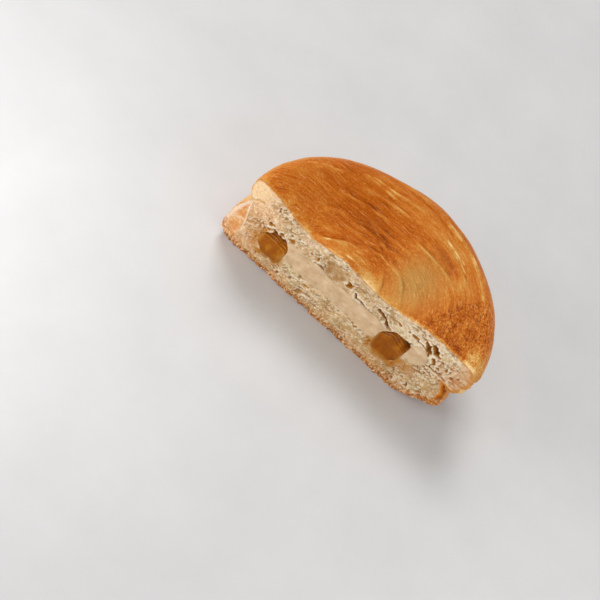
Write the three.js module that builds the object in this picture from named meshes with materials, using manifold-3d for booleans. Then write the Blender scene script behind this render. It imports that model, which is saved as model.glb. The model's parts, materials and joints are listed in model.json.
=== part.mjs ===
// Half of a round swirl bread with a layer of cream and pieces of fruit, cut through the middle.
// It lies on its baked bottom. Millimetres, +Z up, cut face towards -Y, +X along the cut.
import * as THREE from "three";
import { mergeVertices } from "three/addons/utils/BufferGeometryUtils.js";
import Module from "manifold-3d";

// The whole round is two lobes of dough, one on the other, about an axis in the middle of the cut.
// "right" and "left" are the two ends of the cut, seen from in front of it.
const RIM_HEIGHT = 41;
const UPPER = { radius: 52.5, oval: 1.2, skew: 1.4, swelling: 0.5 };
const LOWER = { radius: { right: 51.9, left: 55.3 }, swelling: 0.6 };
const SEAM = { height: { right: 24.3, left: 31 }, wave: 0.9, overlap: { right: 0.9, left: 0.9, atBack: 4 } };
const BOTTOM_CORNER = {
  reach: { right: 17.5, left: 6 },
  height: { right: 11, left: 8 },
  roundness: { right: 1.25, left: 1.6 },
};
const SHOULDER_REACH = { right: 6, left: 9, atBack: 14 };
const UNDERSIDE_CORNER = {
  reach: { right: 2.6, left: 2.6, atBack: 5 },
  height: { right: 3.4, left: 7, atBack: 6.5 },
};
const RIM_ROUNDING = { right: 6.5, left: 3, atBack: 7 };
const PINCH = { depth: 1.1, reach: 2.5 };

// The top is pressed in, with a low dome where the coil of dough starts, and creases between its turns.
const DIP = { depth: 5.6, x: -9, halfWidth: 32, halfDepth: 34, inner: 0.5, outer: 1.3 };
const DOME = { height: 2, x: -11, halfWidth: 9, halfDepth: 7 };
const CREASE = { first: 10, pitch: 5.7, last: 48, width: 1.1, depth: 0.75, fade: 0.25 };
const COIL_SQUEEZE = { least: 0.36, gain: 0.45, middle: -4, spread: 9 };

// Filling: a layer of cream that rises at its right end, and two pieces of fruit.
const CREAM = { x: 2.2, radius: 34, edge: 4.5, bottom: 14.7, thickness: 10.2 };
const CREAM_LIFT = { height: 5, start: 25, end: 31 };
const FRUIT = {
  left: { x: -34.5, z: 15.6, width: 11.2, height: 14.4 },
  right: { x: 22.2, z: 17.6, width: 12, height: 16 },
};
const FRUIT_DEPTH = { middle: 2.4, size: 12.5 };
const FRUIT_SQUARENESS = 5;
const GAP = 0.35;
const SLIT = { height: 1.5, firstX: 3, pitch: 13, halfWidth: 2.5 };

// Cut face: the knife's wave, and the larger pores of the crumb.
const KNIFE = { width: 150, depth: 80, height: 90, wave: 0.35, wavelength: 17 };
const PORES = { count: 36, seed: 7, smallest: 1, largest: 2.6, flatness: 1.6, deepest: 3, clearance: 2.3 };
const LONG_PORES = [
  { x: 33.2, z: 34, length: 6.2, width: 2, lean: 0.38 },
  { x: 37, z: 31, length: 8.4, width: 2, lean: 0.4 },
  { x: -3.4, z: 28.4, length: 3, width: 2.6, lean: 0 },
  { x: 26.3, z: 32.2, length: 2, width: 3.2, lean: 0 },
];

// How finely the surfaces are divided
const STEPS = { front: 8, corner: 4, shoulder: 5, side: 2, rim: 4, top: 27, underside: 3, creamEdge: 3 };
const COLUMNS = { lobe: 50, cream: 24, crowding: 0.55 };
const CREAM_SPOKES = [0, 0.25, 0.5, 0.75];
const KNIFE_GRID = { across: 40, up: 22 };
const FRUIT_GRID = 6;

const { lerp } = THREE.MathUtils;
const wasm = await Module();
wasm.setup();

function smoothStep(from, to, value) {
  return THREE.MathUtils.smoothstep(value, from, to);
}

// A value that changes from the right end of the cut, round the back, to the left end.
function alongRim(turn, { right, left }) {
  return lerp(left, right, (1 + Math.cos(turn)) / 2);
}

// A value that has its own size at both ends of the cut and at the back.
function towardsBack(turn, { right, left, atBack }) {
  return lerp(alongRim(turn, { right, left }), atBack, Math.abs(Math.sin(turn)));
}

function seededDraws(seed) {
  let state = seed;
  return () => {
    state = (Math.imul(state, 1664525) + 1013904223) >>> 0;
    return state / 2 ** 32;
  };
}

function solidFrom(geometry) {
  geometry.deleteAttribute("normal");
  geometry.deleteAttribute("uv");
  const merged = mergeVertices(geometry, 1e-4);
  return new wasm.Manifold(new wasm.Mesh({
    numProp: 3,
    vertProperties: new Float32Array(merged.attributes.position.array),
    triVerts: new Uint32Array(merged.index.array),
  }));
}

function geometryFrom(solid) {
  const mesh = solid.getMesh();
  const geometry = new THREE.BufferGeometry();
  geometry.setAttribute("position", new THREE.BufferAttribute(mesh.vertProperties, 3));
  geometry.setIndex(new THREE.BufferAttribute(mesh.triVerts, 1));
  geometry.computeVertexNormals();
  return geometry;
}

// Columns of a round solid crowd towards the ends of the cut, where the crust is drawn in.
// The first few stand in the other half, which the knife takes away.
function turnOfColumn(column, columnsBehind) {
  if (column <= STEPS.front) {
    return Math.PI * (1 + column / STEPS.front);
  }
  const share = (column - STEPS.front) / columnsBehind;
  const wholeTurn = 2 * Math.PI;
  return Math.PI * (2 + share - COLUMNS.crowding * Math.sin(wholeTurn * share) / wholeTurn);
}

// A sphere's grid is laid over a profile that changes with the turn about the axis.
// The profile runs from the axis at the top, out over the side, to the axis at the bottom.
function roundSolid(profileAt, columnsBehind) {
  const lastColumn = STEPS.front + columnsBehind;
  const geometry = new THREE.SphereGeometry(1, lastColumn, profileAt(0).length - 1);
  for (let column = 0; column <= lastColumn; column += 1) {
    const turn = turnOfColumn(column, columnsBehind);
    profileAt(turn).forEach(({ reach, height }, row) => {
      const index = row * (lastColumn + 1) + column;
      geometry.attributes.position.setXYZ(index, reach * Math.cos(turn), reach * Math.sin(turn), height);
    });
  }
  return solidFrom(geometry);
}

// Rounded corner between a level face and a side, as points from one to the other.
function corner(steps, edge, reach, level, rise, roundness = 2) {
  const points = [];
  for (let step = 0; step <= steps; step += 1) {
    const angle = (Math.PI / 2) * (step / steps);
    points.push({
      reach: edge - reach + reach * Math.sin(angle) ** (2 / roundness),
      height: level + rise * (1 - Math.cos(angle) ** (2 / roundness)),
    });
  }
  return points;
}

function seamHeight(turn) {
  return alongRim(turn, SEAM.height) + SEAM.wave * Math.sin(turn) * Math.cos(3 * turn);
}
const SEAM_MIDDLE = (SEAM.height.right + SEAM.height.left) / 2;

// Near the right end of the cut the knife has drawn the crust in.
function drawnIn(edge, turn) {
  if (Math.cos(turn) < 0) {
    return edge;
  }
  const fromCut = edge * Math.sin(turn) / PINCH.reach;
  return edge - PINCH.depth * Math.exp(-fromCut * fromCut);
}

function lowerEdge(turn) {
  const swelling = LOWER.swelling * Math.sin(turn) * Math.sin(4 * turn);
  return drawnIn(alongRim(turn, LOWER.radius) + swelling, turn);
}

// Lower lobe: a shoulder that rises into the seam, a rounded corner and a flat bottom.
function lowerProfile(turn) {
  const edge = lowerEdge(turn);
  const widest = alongRim(turn, BOTTOM_CORNER.height);
  const top = seamHeight(turn) + towardsBack(turn, SEAM.overlap);
  const shoulder = corner(STEPS.shoulder, edge, towardsBack(turn, SHOULDER_REACH), top, widest - top);
  const bottomReach = alongRim(turn, BOTTOM_CORNER.reach);
  const roundness = alongRim(turn, BOTTOM_CORNER.roundness);
  const bottom = corner(STEPS.corner, edge, bottomReach, 0, widest, roundness);
  const topMiddle = { reach: 0, height: SEAM_MIDDLE + SEAM.overlap.atBack };
  const bottomMiddle = { reach: 0, height: 0 };
  return [topMiddle, ...shoulder, ...bottom.reverse().slice(1), bottomMiddle];
}

function upperEdge(turn) {
  const swelling = UPPER.swelling * Math.sin(turn) * Math.sin(5 * turn + 1);
  const skew = UPPER.skew * Math.abs(Math.sin(turn)) * Math.cos(turn);
  return drawnIn(UPPER.radius + UPPER.oval * Math.cos(2 * turn) + skew + swelling, turn);
}

// How far out in the coil a place on the top lies. The turns are drawn out towards the left end.
function coilDistance(x, y) {
  const left = 0.5 * (1 - Math.tanh((x - COIL_SQUEEZE.middle) / COIL_SQUEEZE.spread));
  const kept = COIL_SQUEEZE.least + COIL_SQUEEZE.gain * (y / UPPER.radius) ** 2;
  return Math.hypot(x * (1 - left * (1 - kept)), y);
}

function creaseDepth(x, y) {
  const distance = coilDistance(x, y);
  const turns = (distance - CREASE.first) / CREASE.pitch;
  if (turns < -0.5 || distance > CREASE.last) {
    return 0;
  }
  const away = (turns - Math.round(turns)) * CREASE.pitch / CREASE.width;
  return CREASE.depth * Math.exp(-away * away) / (1 + CREASE.fade * Math.max(turns, 0));
}

function topHeight(x, y) {
  const fromDip = Math.hypot((x - DIP.x) / DIP.halfWidth, y / DIP.halfDepth);
  const fromDome = Math.hypot((x - DOME.x) / DOME.halfWidth, y / DOME.halfDepth);
  const dip = DIP.depth * (1 - smoothStep(DIP.inner, DIP.outer, fromDip));
  const dome = DOME.height * Math.exp(-fromDome * fromDome);
  return RIM_HEIGHT - dip + dome - creaseDepth(x, y);
}

// Upper lobe: pressed top with the coil's creases, rounded rim, side, and a corner down to the seam.
function upperProfile(turn) {
  const edge = upperEdge(turn);
  const rim = towardsBack(turn, RIM_ROUNDING);
  const pointOnTop = (reach) => {
    const height = topHeight(reach * Math.cos(turn), reach * Math.sin(turn));
    return { reach, height };
  };
  const points = [];
  for (let step = 0; step < STEPS.top; step += 1) {
    points.push(pointOnTop((edge - rim) * (step / STEPS.top)));
  }
  const rimTop = pointOnTop(edge - rim).height;
  points.push(...corner(STEPS.rim, edge, rim, rimTop, -rim));
  const seam = seamHeight(turn) - towardsBack(turn, SEAM.overlap);
  const cornerHeight = towardsBack(turn, UNDERSIDE_CORNER.height);
  for (let step = 1; step < STEPS.side; step += 1) {
    points.push({ reach: edge, height: lerp(rimTop - rim, seam + cornerHeight, step / STEPS.side) });
  }
  const cornerReach = towardsBack(turn, UNDERSIDE_CORNER.reach);
  points.push(...corner(STEPS.underside, edge, cornerReach, seam, cornerHeight).reverse());
  points.push({ reach: 0, height: SEAM_MIDDLE - SEAM.overlap.atBack });
  return points;
}

// The knife is a thick block whose rear face waves a little, and takes away the other half.
function knifeSolid() {
  const { across, up } = KNIFE_GRID;
  const block = new THREE.BoxGeometry(KNIFE.width, KNIFE.depth, KNIFE.height, across, 1, up);
  const position = block.attributes.position;
  for (let index = 0; index < position.count; index += 1) {
    if (position.getY(index) > 0) {
      const along = position.getX(index) / KNIFE.wavelength;
      const slanted = along + 2 * position.getZ(index) / KNIFE.wavelength;
      const wave = Math.sin(along + 0.5) + Math.sin(slanted);
      position.setY(index, KNIFE.depth / 2 + KNIFE.wave * wave);
    }
  }
  block.translate(0, -KNIFE.depth / 2, RIM_HEIGHT / 2);
  return solidFrom(block);
}

// Height of the slits above the cream, where the dough has come away from it.
function slitHeight(x) {
  const turns = (x - SLIT.firstX) / SLIT.pitch;
  const away = (turns - Math.round(turns)) * SLIT.pitch / SLIT.halfWidth;
  return SLIT.height * Math.exp(-away * away);
}

function creamMiddle(x) {
  const lift = CREAM_LIFT.height * smoothStep(CREAM_LIFT.start, CREAM_LIFT.end, x);
  return CREAM.bottom + CREAM.thickness / 2 + lift;
}

// Cream: a flat round cake with a rounded edge. The bed that it lies in is the same shape, grown by
// the gap round it, with the slits above.
function creamSolid({ isBed }) {
  const grow = isBed ? GAP : 0;
  const radius = CREAM.radius + grow;
  const half = CREAM.thickness / 2 + grow;
  const solid = roundSolid((turn) => {
    const place = ({ reach, height }) => {
      const x = CREAM.x + reach * Math.cos(turn);
      const slit = isBed && height > 0 ? slitHeight(x) * height / half : 0;
      return { reach, height: creamMiddle(x) + height + slit };
    };
    const spokes = CREAM_SPOKES.map((share) => share * (radius - CREAM.edge));
    const top = spokes.map((reach) => ({ reach, height: half }));
    const upper = corner(STEPS.creamEdge, radius, CREAM.edge, half, -half);
    const lower = corner(STEPS.creamEdge, radius, CREAM.edge, -half, half).reverse().slice(1);
    const bottom = spokes.map((reach) => ({ reach, height: -half })).reverse();
    return [...top, ...upper, ...lower, ...bottom].map(place);
  }, COLUMNS.cream);
  return solid.translate([CREAM.x, 0, 0]);
}

// Fruit: a block with soft edges. Grown by a gap, it is its own bed.
function fruitSolid({ x, z, width, height }, grow) {
  const block = new THREE.BoxGeometry(2, 2, 2, FRUIT_GRID, FRUIT_GRID, FRUIT_GRID);
  const position = block.attributes.position;
  const point = new THREE.Vector3();
  for (let index = 0; index < position.count; index += 1) {
    point.fromBufferAttribute(position, index);
    const powers = point.toArray().map((part) => Math.abs(part) ** FRUIT_SQUARENESS);
    point.divideScalar((powers[0] + powers[1] + powers[2]) ** (1 / FRUIT_SQUARENESS));
    position.setXYZ(
      index,
      x + point.x * (width / 2 + grow),
      FRUIT_DEPTH.middle + point.y * (FRUIT_DEPTH.size / 2 + grow),
      z + point.z * (height / 2 + grow),
    );
  }
  return solidFrom(block);
}

// A pore is an egg-shaped hollow that opens at the cut.
function poreSolid({ x, z, length, width, depth, lean }) {
  const egg = new THREE.IcosahedronGeometry(1, 1);
  egg.scale(width / 2, depth, length / 2);
  egg.rotateY(-lean);
  egg.translate(x, 0, z);
  return solidFrom(egg);
}

// Dough shows at the cut above and below the filling, and at both ends.
function isDough(x, z) {
  const leftOfFilling = x < FRUIT.left.x - FRUIT.left.width / 2 - PORES.clearance;
  const rightOfFilling = x > CREAM.x + CREAM.radius + PORES.clearance;
  const lowest = FRUIT.left.z - FRUIT.left.height / 2 - PORES.clearance;
  const highest = creamMiddle(x + PORES.clearance) + CREAM.thickness / 2 + PORES.clearance;
  return leftOfFilling || rightOfFilling || z < lowest || z > highest;
}

// Pores are drawn at random over the dough, clear of its outline and of each other.
function pores() {
  const draw = seededDraws(PORES.seed);
  const found = LONG_PORES.map((pore) => ({ ...pore, depth: PORES.deepest }));
  const leftEnd = 2 * PORES.clearance - UPPER.radius;
  const rightEnd = LOWER.radius.right - BOTTOM_CORNER.height.right;
  while (found.length < PORES.count) {
    const x = lerp(leftEnd, rightEnd, draw());
    const z = lerp(2 * PORES.clearance, topHeight(x, 0) - PORES.clearance, draw());
    const size = lerp(PORES.smallest, PORES.largest, draw() ** 2);
    const pore = { x, z, width: PORES.flatness * size, length: size, depth: size, lean: draw() };
    const apart = found.every((other) => Math.hypot(other.x - x, other.z - z) > 2 * PORES.clearance);
    if (apart && isDough(x, z)) {
      found.push(pore);
    }
  }
  return found.map(poreSolid);
}

const knife = knifeSolid();
const fruitBeds = Object.values(FRUIT).map((piece) => fruitSolid(piece, GAP));

function breadSolid() {
  const lobes = roundSolid(lowerProfile, COLUMNS.lobe).add(roundSolid(upperProfile, COLUMNS.lobe));
  const hollows = [knife, creamSolid({ isBed: true }), ...fruitBeds, ...pores()];
  return hollows.reduce((bread, hollow) => bread.subtract(hollow), lobes);
}

function creamRoundFruit() {
  const layer = creamSolid({ isBed: false });
  return [knife, ...fruitBeds].reduce((cream, hollow) => cream.subtract(hollow), layer);
}

function namedMesh(name, solid, color, roughness) {
  const material = new THREE.MeshStandardMaterial({ color, roughness, metalness: 0 });
  const mesh = new THREE.Mesh(geometryFrom(solid), material);
  mesh.name = name;
  return mesh;
}

const half = new THREE.Group();
half.add(namedMesh("bread", breadSolid(), 0xc58a45, 0.6));
half.add(namedMesh("cream", creamRoundFruit(), 0xdcc39b, 0.5));
for (const [side, piece] of Object.entries(FRUIT)) {
  half.add(namedMesh(`fruit_${side}`, fruitSolid(piece, 0).subtract(knife), 0x9c5c12, 0.25));
}

// The origin is the middle of the footprint, on the surface that the half lies on.
const footprint = new THREE.Box3().setFromObject(half);
const middle = footprint.getCenter(new THREE.Vector3());
half.position.set(-middle.x, -middle.y, -footprint.min.z);
half.updateMatrixWorld(true);

export default half;
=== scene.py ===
# %% [markdown]
# # A filled swirl bread, cut in half
# The bread is a round of soft dough, rolled up like a snail and baked flat, with a layer of cream and
# pieces of stewed fruit inside. A knife has gone through the middle, and one half lies on its baked bottom.
# Everything stands in the frame of the construction model, so the first step loads that frame; the box of
# its bread later sets where the round's axis stands.

# %% Load the frame
import json
import math

import bmesh
import bpy
import numpy as np
from mathutils import Matrix, Vector
from mathutils.kdtree import KDTree

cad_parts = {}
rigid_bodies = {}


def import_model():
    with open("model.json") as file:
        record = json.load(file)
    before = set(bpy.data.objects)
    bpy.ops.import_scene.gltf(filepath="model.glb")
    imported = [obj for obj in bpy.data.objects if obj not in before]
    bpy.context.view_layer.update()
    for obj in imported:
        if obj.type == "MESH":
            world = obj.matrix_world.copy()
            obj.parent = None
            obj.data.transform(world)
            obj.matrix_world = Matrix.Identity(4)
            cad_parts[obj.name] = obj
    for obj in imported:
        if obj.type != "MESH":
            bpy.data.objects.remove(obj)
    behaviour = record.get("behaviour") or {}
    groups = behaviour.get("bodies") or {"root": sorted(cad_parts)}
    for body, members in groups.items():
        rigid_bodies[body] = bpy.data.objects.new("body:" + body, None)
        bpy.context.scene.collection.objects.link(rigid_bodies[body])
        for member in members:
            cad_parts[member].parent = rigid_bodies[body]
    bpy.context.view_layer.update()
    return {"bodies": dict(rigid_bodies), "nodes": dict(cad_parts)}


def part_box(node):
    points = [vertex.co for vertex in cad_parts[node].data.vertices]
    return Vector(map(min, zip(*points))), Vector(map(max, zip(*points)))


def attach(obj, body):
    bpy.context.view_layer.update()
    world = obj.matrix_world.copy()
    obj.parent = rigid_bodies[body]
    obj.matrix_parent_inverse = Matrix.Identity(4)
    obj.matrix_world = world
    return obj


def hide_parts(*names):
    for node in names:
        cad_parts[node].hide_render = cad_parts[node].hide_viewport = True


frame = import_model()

MM = 0.001

# %% [markdown]
# ## Sizes that drive the shape
# The whole round is two lobes of dough, one on the other, about an axis in the middle of the cut.
# The same few sizes shaped the construction model, so they are written once here and every curve below is
# worked out from them. Lengths are millimetres, and "right" and "left" are the two ends of the cut.

# %% Driving sizes of the dough
RIM_HEIGHT = 41.0
UPPER = dict(radius=52.5, oval=1.2, skew=1.4)
UPPER_SWELLING = dict(height=0.5, waves=5, start=1)
LOWER = dict(right=51.9, left=55.3)
LOWER_SWELLING = dict(height=0.6, waves=4)
SEAM = dict(right=24.3, left=31.0)
SEAM_WAVE = dict(height=0.9, waves=3, start=math.pi / 2)
SEAM_OVERLAP = dict(right=0.9, left=0.9, at_back=4.0)
CORNER_REACH = dict(right=17.5, left=6.0)
CORNER_HEIGHT = dict(right=11.0, left=8.0)
CORNER_ROUNDNESS = dict(right=1.25, left=1.6)
SHOULDER_REACH = dict(right=6.0, left=9.0, at_back=14.0)
UNDERSIDE_REACH = dict(right=2.6, left=2.6, at_back=5.0)
UNDERSIDE_HEIGHT = dict(right=3.4, left=7.0, at_back=6.5)
RIM_ROUNDING = dict(right=6.5, left=3.0, at_back=7.0)
PINCH = dict(depth=1.1, reach=2.5)
DIP = dict(depth=5.6, x=-9.0, half_width=32.0, half_depth=34.0, inner=0.5, outer=1.3)
DOME = dict(height=2.0, x=-11.0, half_width=9.0, half_depth=7.0)
CREASE = dict(first=10.0, pitch=5.7, last=48.0, width=0.75, depth=0.85, fade=0.2)
COIL_SQUEEZE = dict(least=0.36, gain=0.45, middle=-4.0, spread=9.0)
SEAM_MIDDLE = (SEAM["right"] + SEAM["left"]) / 2
print("seam at the middle, mm:", SEAM_MIDDLE)

# %% [markdown]
# ## Helpers for soft shapes
# Baked dough has no hard rules: it swells, wavers and browns in patches. Blender's texture nodes can show
# that in a picture, but the shape itself has to carry it too, so the unevenness is worked out with numpy.
# A soft step, a soft spot and a smooth random field are enough for all of it. The random field is seeded,
# so that every run gives the same bread, and each layer of it is written as its height, size and seed.

# %% Soft steps, spots and lumps
LUMP_TABLE_SIDE = 32


def fade(start, end, value):
    """0 up to start and 1 from end on, with a soft change between."""
    share = np.clip((value - start) / (end - start), 0, 1)
    return share * share * (3 - 2 * share)


def oval(across, up, middle, half, lean=0.0):
    """Distance from an oval's middle, 1 on its outline. lean turns it clockwise, in degrees."""
    turn = math.radians(lean)
    right = across - middle[0]
    rise = up - middle[1]
    along = right * math.cos(turn) - rise * math.sin(turn)
    beside = right * math.sin(turn) + rise * math.cos(turn)
    return np.hypot(along / half[0], beside / half[1])


def spot(across, up, middle, half, lean=0.0):
    """1 in the middle of a soft oval spot, falling away to 0 outside it."""
    return np.exp(-oval(across, up, middle, half, lean) ** 2)


def lumps(x, y, z, size, seed):
    """Smooth random lumps about one size across, from -1 to 1."""
    table = np.random.default_rng(seed).uniform(-1, 1, (LUMP_TABLE_SIDE,) * 3)
    place = np.stack(np.broadcast_arrays(x, y, z), -1) / size
    low = np.floor(place).astype(int)
    share = fade(0, 1, place - low)
    total = np.zeros(place.shape[:-1])
    for corner_of_cell in np.ndindex(2, 2, 2):
        weight = np.where(np.array(corner_of_cell) == 1, share, 1 - share).prod(-1)
        index = (low + np.array(corner_of_cell)) % LUMP_TABLE_SIDE
        total += weight * table[index[..., 0], index[..., 1], index[..., 2]]
    return total


def stretched_lumps(across, up, width, height, seed):
    """Smooth random lumps with a width and a height of their own, from -1 to 1."""
    return lumps(across / width, up / height, 0.0, 1.0, seed)


def uneven(place, base, *layers):
    """A base with layers of lumps on it, each layer given as its height, size and seed."""
    return sum((height * lumps(*place, size, seed) for height, size, seed in layers), base)


sample = lumps(np.linspace(0, 40, 500), 0.0, 0.0, 5.0, 1)
print("lumps run from", round(sample.min(), 2), "to", round(sample.max(), 2))

# %% [markdown]
# ## The outline of the two lobes
# Seen from above the bread is nearly round, but the lower lobe spreads further at the left end and the
# knife has drawn its crust in at the right end. Each edge is a distance from the axis that changes with
# the turn about it, from the right end of the cut round the back to the left end. A formula for each edge
# is easier to change than a traced curve, and it is the same formula as in the construction model.

# %% Edges and seam
def along_rim(turn, right, left):
    return left + (right - left) * (1 + np.cos(turn)) / 2


def towards_back(turn, right, left, at_back):
    at_cut = along_rim(turn, right, left)
    return at_cut + (at_back - at_cut) * np.abs(np.sin(turn))


def waving(turn, height, waves, start=0):
    """Waves round the back that die out at both ends of the cut."""
    return height * np.sin(turn) * np.sin(waves * turn + start)


def seam_height(turn):
    return along_rim(turn, **SEAM) + waving(turn, **SEAM_WAVE)


def drawn_in(turn, edge):
    """The edge, less a little near the right end of the cut, where the knife drew the crust in."""
    pinch = PINCH["depth"] * np.exp(-(edge * np.sin(turn) / PINCH["reach"]) ** 2)
    return edge - np.where(np.cos(turn) >= 0, pinch, 0)


def lower_edge(turn):
    return drawn_in(turn, along_rim(turn, **LOWER) + waving(turn, **LOWER_SWELLING))


def upper_edge(turn):
    skew = UPPER["skew"] * np.abs(np.sin(turn)) * np.cos(turn)
    round_edge = UPPER["radius"] + UPPER["oval"] * np.cos(2 * turn) + skew
    return drawn_in(turn, round_edge + waving(turn, **UPPER_SWELLING))


half_turn = np.linspace(0, math.pi, 721)
back_reach = np.max(np.maximum(upper_edge(half_turn), lower_edge(half_turn)) * np.sin(half_turn))
bread_low, bread_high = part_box("bread")
AXIS = np.array([bread_low.x / MM + LOWER["left"], bread_high.y / MM - back_reach, 0.0])
print("the round's axis stands at, mm:", AXIS.round(2))

# %% [markdown]
# ## The coil on top
# The dough was rolled up before baking, so its turns show on top as a snail of shallow creases, drawn out
# towards the left end. A real coil could be swept as a tube, but the baked top is one skin with creases
# in it, so it is one surface pushed down along the creases. What the creases follow is how far out in the
# coil a place lies, and that distance wavers a little as hand-rolled dough does.

# %% Places in the coil
COIL_WAVER = [(0.9, 14.0, 11), (0.3, 5.0, 12)]
STREAK_RADIUS = 25.0


def coil_place(x, y):
    """How far out in the coil a place lies, and how far along its turn, in millimetres."""
    left = 0.5 * (1 - np.tanh((x - COIL_SQUEEZE["middle"]) / COIL_SQUEEZE["spread"]))
    kept = COIL_SQUEEZE["least"] + COIL_SQUEEZE["gain"] * (y / UPPER["radius"]) ** 2
    drawn_x = x * (1 - left * (1 - kept))
    waver = uneven((x, y, 0.0), 0.0, *COIL_WAVER)
    return np.hypot(drawn_x, y) + waver, np.arctan2(y, drawn_x) * STREAK_RADIUS


def top_height(x, y):
    """Height of the pressed top without its creases."""
    from_dip = np.hypot((x - DIP["x"]) / DIP["half_width"], y / DIP["half_depth"])
    from_dome = np.hypot((x - DOME["x"]) / DOME["half_width"], y / DOME["half_depth"])
    dip = DIP["depth"] * (1 - fade(DIP["inner"], DIP["outer"], from_dip))
    return RIM_HEIGHT - dip + DOME["height"] * np.exp(-from_dome ** 2)


print("pressed top at the cut, mm:", [round(float(top_height(x, 0.0)), 1) for x in (-45, -25, 0, 25, 45)])

# %% [markdown]
# ## Relief of the crust
# Four things shape the skin: shallow creases between the turns, pleats where one turn overlaps the next,
# fine broken ridges where the dough was stretched, and blisters at the right end, where the crust has baked
# darkest. They could be bump in the material alone, but then the exported mesh would be bare, so they move
# the surface itself. A pleat is a curve through four points, from left to right, with a sharp furrow on its
# outer side and a raised lip on its inner side, so the first helper finds a place's distance from a line.

# %% Distance from a line
CURVE_STEPS = 18


def curve_through(points):
    """Points along one smooth curve through the given points."""
    at = np.linspace(0, 1, len(points))
    steps = np.linspace(0, 1, CURVE_STEPS)
    fits = [np.polyfit(at, part, len(points) - 1) for part in np.transpose(points)]
    return np.stack([np.polyval(fit, steps) for fit in fits], -1)


def from_line(x, y, points):
    """Distance from a line of straight runs, less than 0 on its right, and the share of the way along it."""
    nearest = np.full(np.shape(x), np.inf)
    along = np.zeros(np.shape(x))
    runs = len(points) - 1
    for number, ((start_x, start_y), (end_x, end_y)) in enumerate(zip(points, points[1:])):
        run, rise = end_x - start_x, end_y - start_y
        share = np.clip(((x - start_x) * run + (y - start_y) * rise) / (run * run + rise * rise), 0, 1)
        away = np.hypot(x - start_x - share * run, y - start_y - share * rise)
        side = np.where((y - start_y) * run - (x - start_x) * rise < 0, -1, 1)
        closer = away < np.abs(nearest)
        nearest = np.where(closer, side * away, nearest)
        along = np.where(closer, (number + share) / runs, along)
    return nearest, along


print("a step to the left of a line is", from_line(np.array(1.0), np.array(1.0), [(0, 0), (2, 0)])[0])

# %% Pleats of the coil
# Each pleat is the four points of its curve, the depth of its furrow and the height of its lip.
PLEATS = [
    ([(-26.2, 2.5), (-19.3, 6.4), (-14.2, 10.2), (-5.5, 11.4)], 0.75, 0.45),
    ([(-21.6, 4.3), (-16.9, 6.9), (-12.3, 8.2), (-6.9, 8.5)], 0.35, 0.3),
    ([(-8.0, 21.3), (-3.4, 20.4), (1.2, 17.8), (8.9, 15.3)], 0.6, 0.4),
    ([(-10.7, 19.5), (-6.9, 18.8), (-3.0, 17.8), (2.0, 16.6)], 0.4, 0.3),
    ([(7.8, 15.1), (10.9, 11.5), (13.9, 6.7), (16.2, -1.0)], 0.6, 0.45),
    ([(1.6, 13.1), (4.0, 8.4), (5.5, 4.5), (6.3, -1.0)], 0.45, 0.3),
    ([(-30.0, 24.5), (-22.3, 26.1), (-13.0, 28.7), (-1.5, 29.4)], 0.5, 0.35),
    ([(-28.5, 30.8), (-20.0, 33.0), (-10.0, 35.2), (0.5, 35.2)], 0.4, 0.4),
    ([(2.5, 30.4), (11.0, 28.6), (18.5, 26.8), (26.0, 23.2)], 0.6, 0.45),
    ([(13.7, 35.6), (19.7, 34.0), (25.8, 30.6), (31.9, 25.9)], 0.35, 0.35),
    ([(-18.0, 38.0), (-13.9, 39.3), (-7.4, 40.9), (3.0, 41.4)], 0.4, 0.35),
    ([(8.0, 40.0), (15.0, 38.0), (22.0, 34.6), (28.0, 30.5)], 0.35, 0.3),
    ([(-44.8, 19.5), (-41.0, 23.8), (-36.8, 27.4), (-31.0, 31.0)], 0.35, 0.4),
    ([(-32.3, 12.6), (-28.5, 15.1), (-25.4, 17.6), (-20.0, 19.5)], 0.4, 0.15),
    ([(27.4, 16.2), (28.9, 13.8), (31.2, 11.1), (33.5, 8.8)], 0.3, 0.3),
    ([(-18.2, 1.6), (-15.4, 3.8), (-12.3, 4.9), (-7.2, 4.6)], 0.35, 0.35),
    ([(-14.4, 0.9), (-11.9, 2.1), (-9.6, 2.3), (-6.6, 1.5)], 0.3, 0.3),
    ([(-8.9, 13.3), (-3.8, 16.1), (1.1, 17.5), (6.7, 15.1)], 0.3, 0.4),
    ([(5.7, 46.4), (13.7, 44.8), (23.6, 41.4), (33.6, 33.8)], 0.5, 0.6),
    ([(-20.8, 43.7), (-12.2, 46.1), (-4.2, 47.1), (3.3, 47.3)], 0.4, 0.5),
]
FURROW = dict(width=0.6, outer=2.2, inner=0.7)
LIP = dict(width=0.8, inwards=1.3)
PLEAT_SHARE = 0.75
PLEAT_LUMPS = (0.6, 3.5, 23)
PLEAT_ENDS = 0.25


def tapered(strength, along, share):
    """The strength along a line, falling to 0 over a share of it at each end."""
    return strength * fade(0.0, share, along) * (1 - fade(1 - share, 1.0, along))


def pleats(x, y):
    """Furrows and lips of the pleats, each as a positive height."""
    furrows = np.zeros(np.shape(x))
    lips = np.zeros(np.shape(x))
    patchy = uneven((x, y, 0.0), PLEAT_SHARE, PLEAT_LUMPS)
    for points, furrow, lip in PLEATS:
        away, along = from_line(x, y, curve_through(points))
        here = tapered(patchy, along, PLEAT_ENDS)
        reach = np.where(away > 0, FURROW["outer"], FURROW["inner"]) * FURROW["width"]
        furrows = np.maximum(furrows, furrow * here * np.exp(-np.abs(away) / reach))
        from_lip = (away + LIP["inwards"] * LIP["width"]) / LIP["width"]
        lips = np.maximum(lips, lip * here * np.exp(-from_lip ** 2))
    return furrows, lips


print(len(PLEATS), "pleats, the deepest", max(furrow for points, furrow, lip in PLEATS), "mm")

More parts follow.
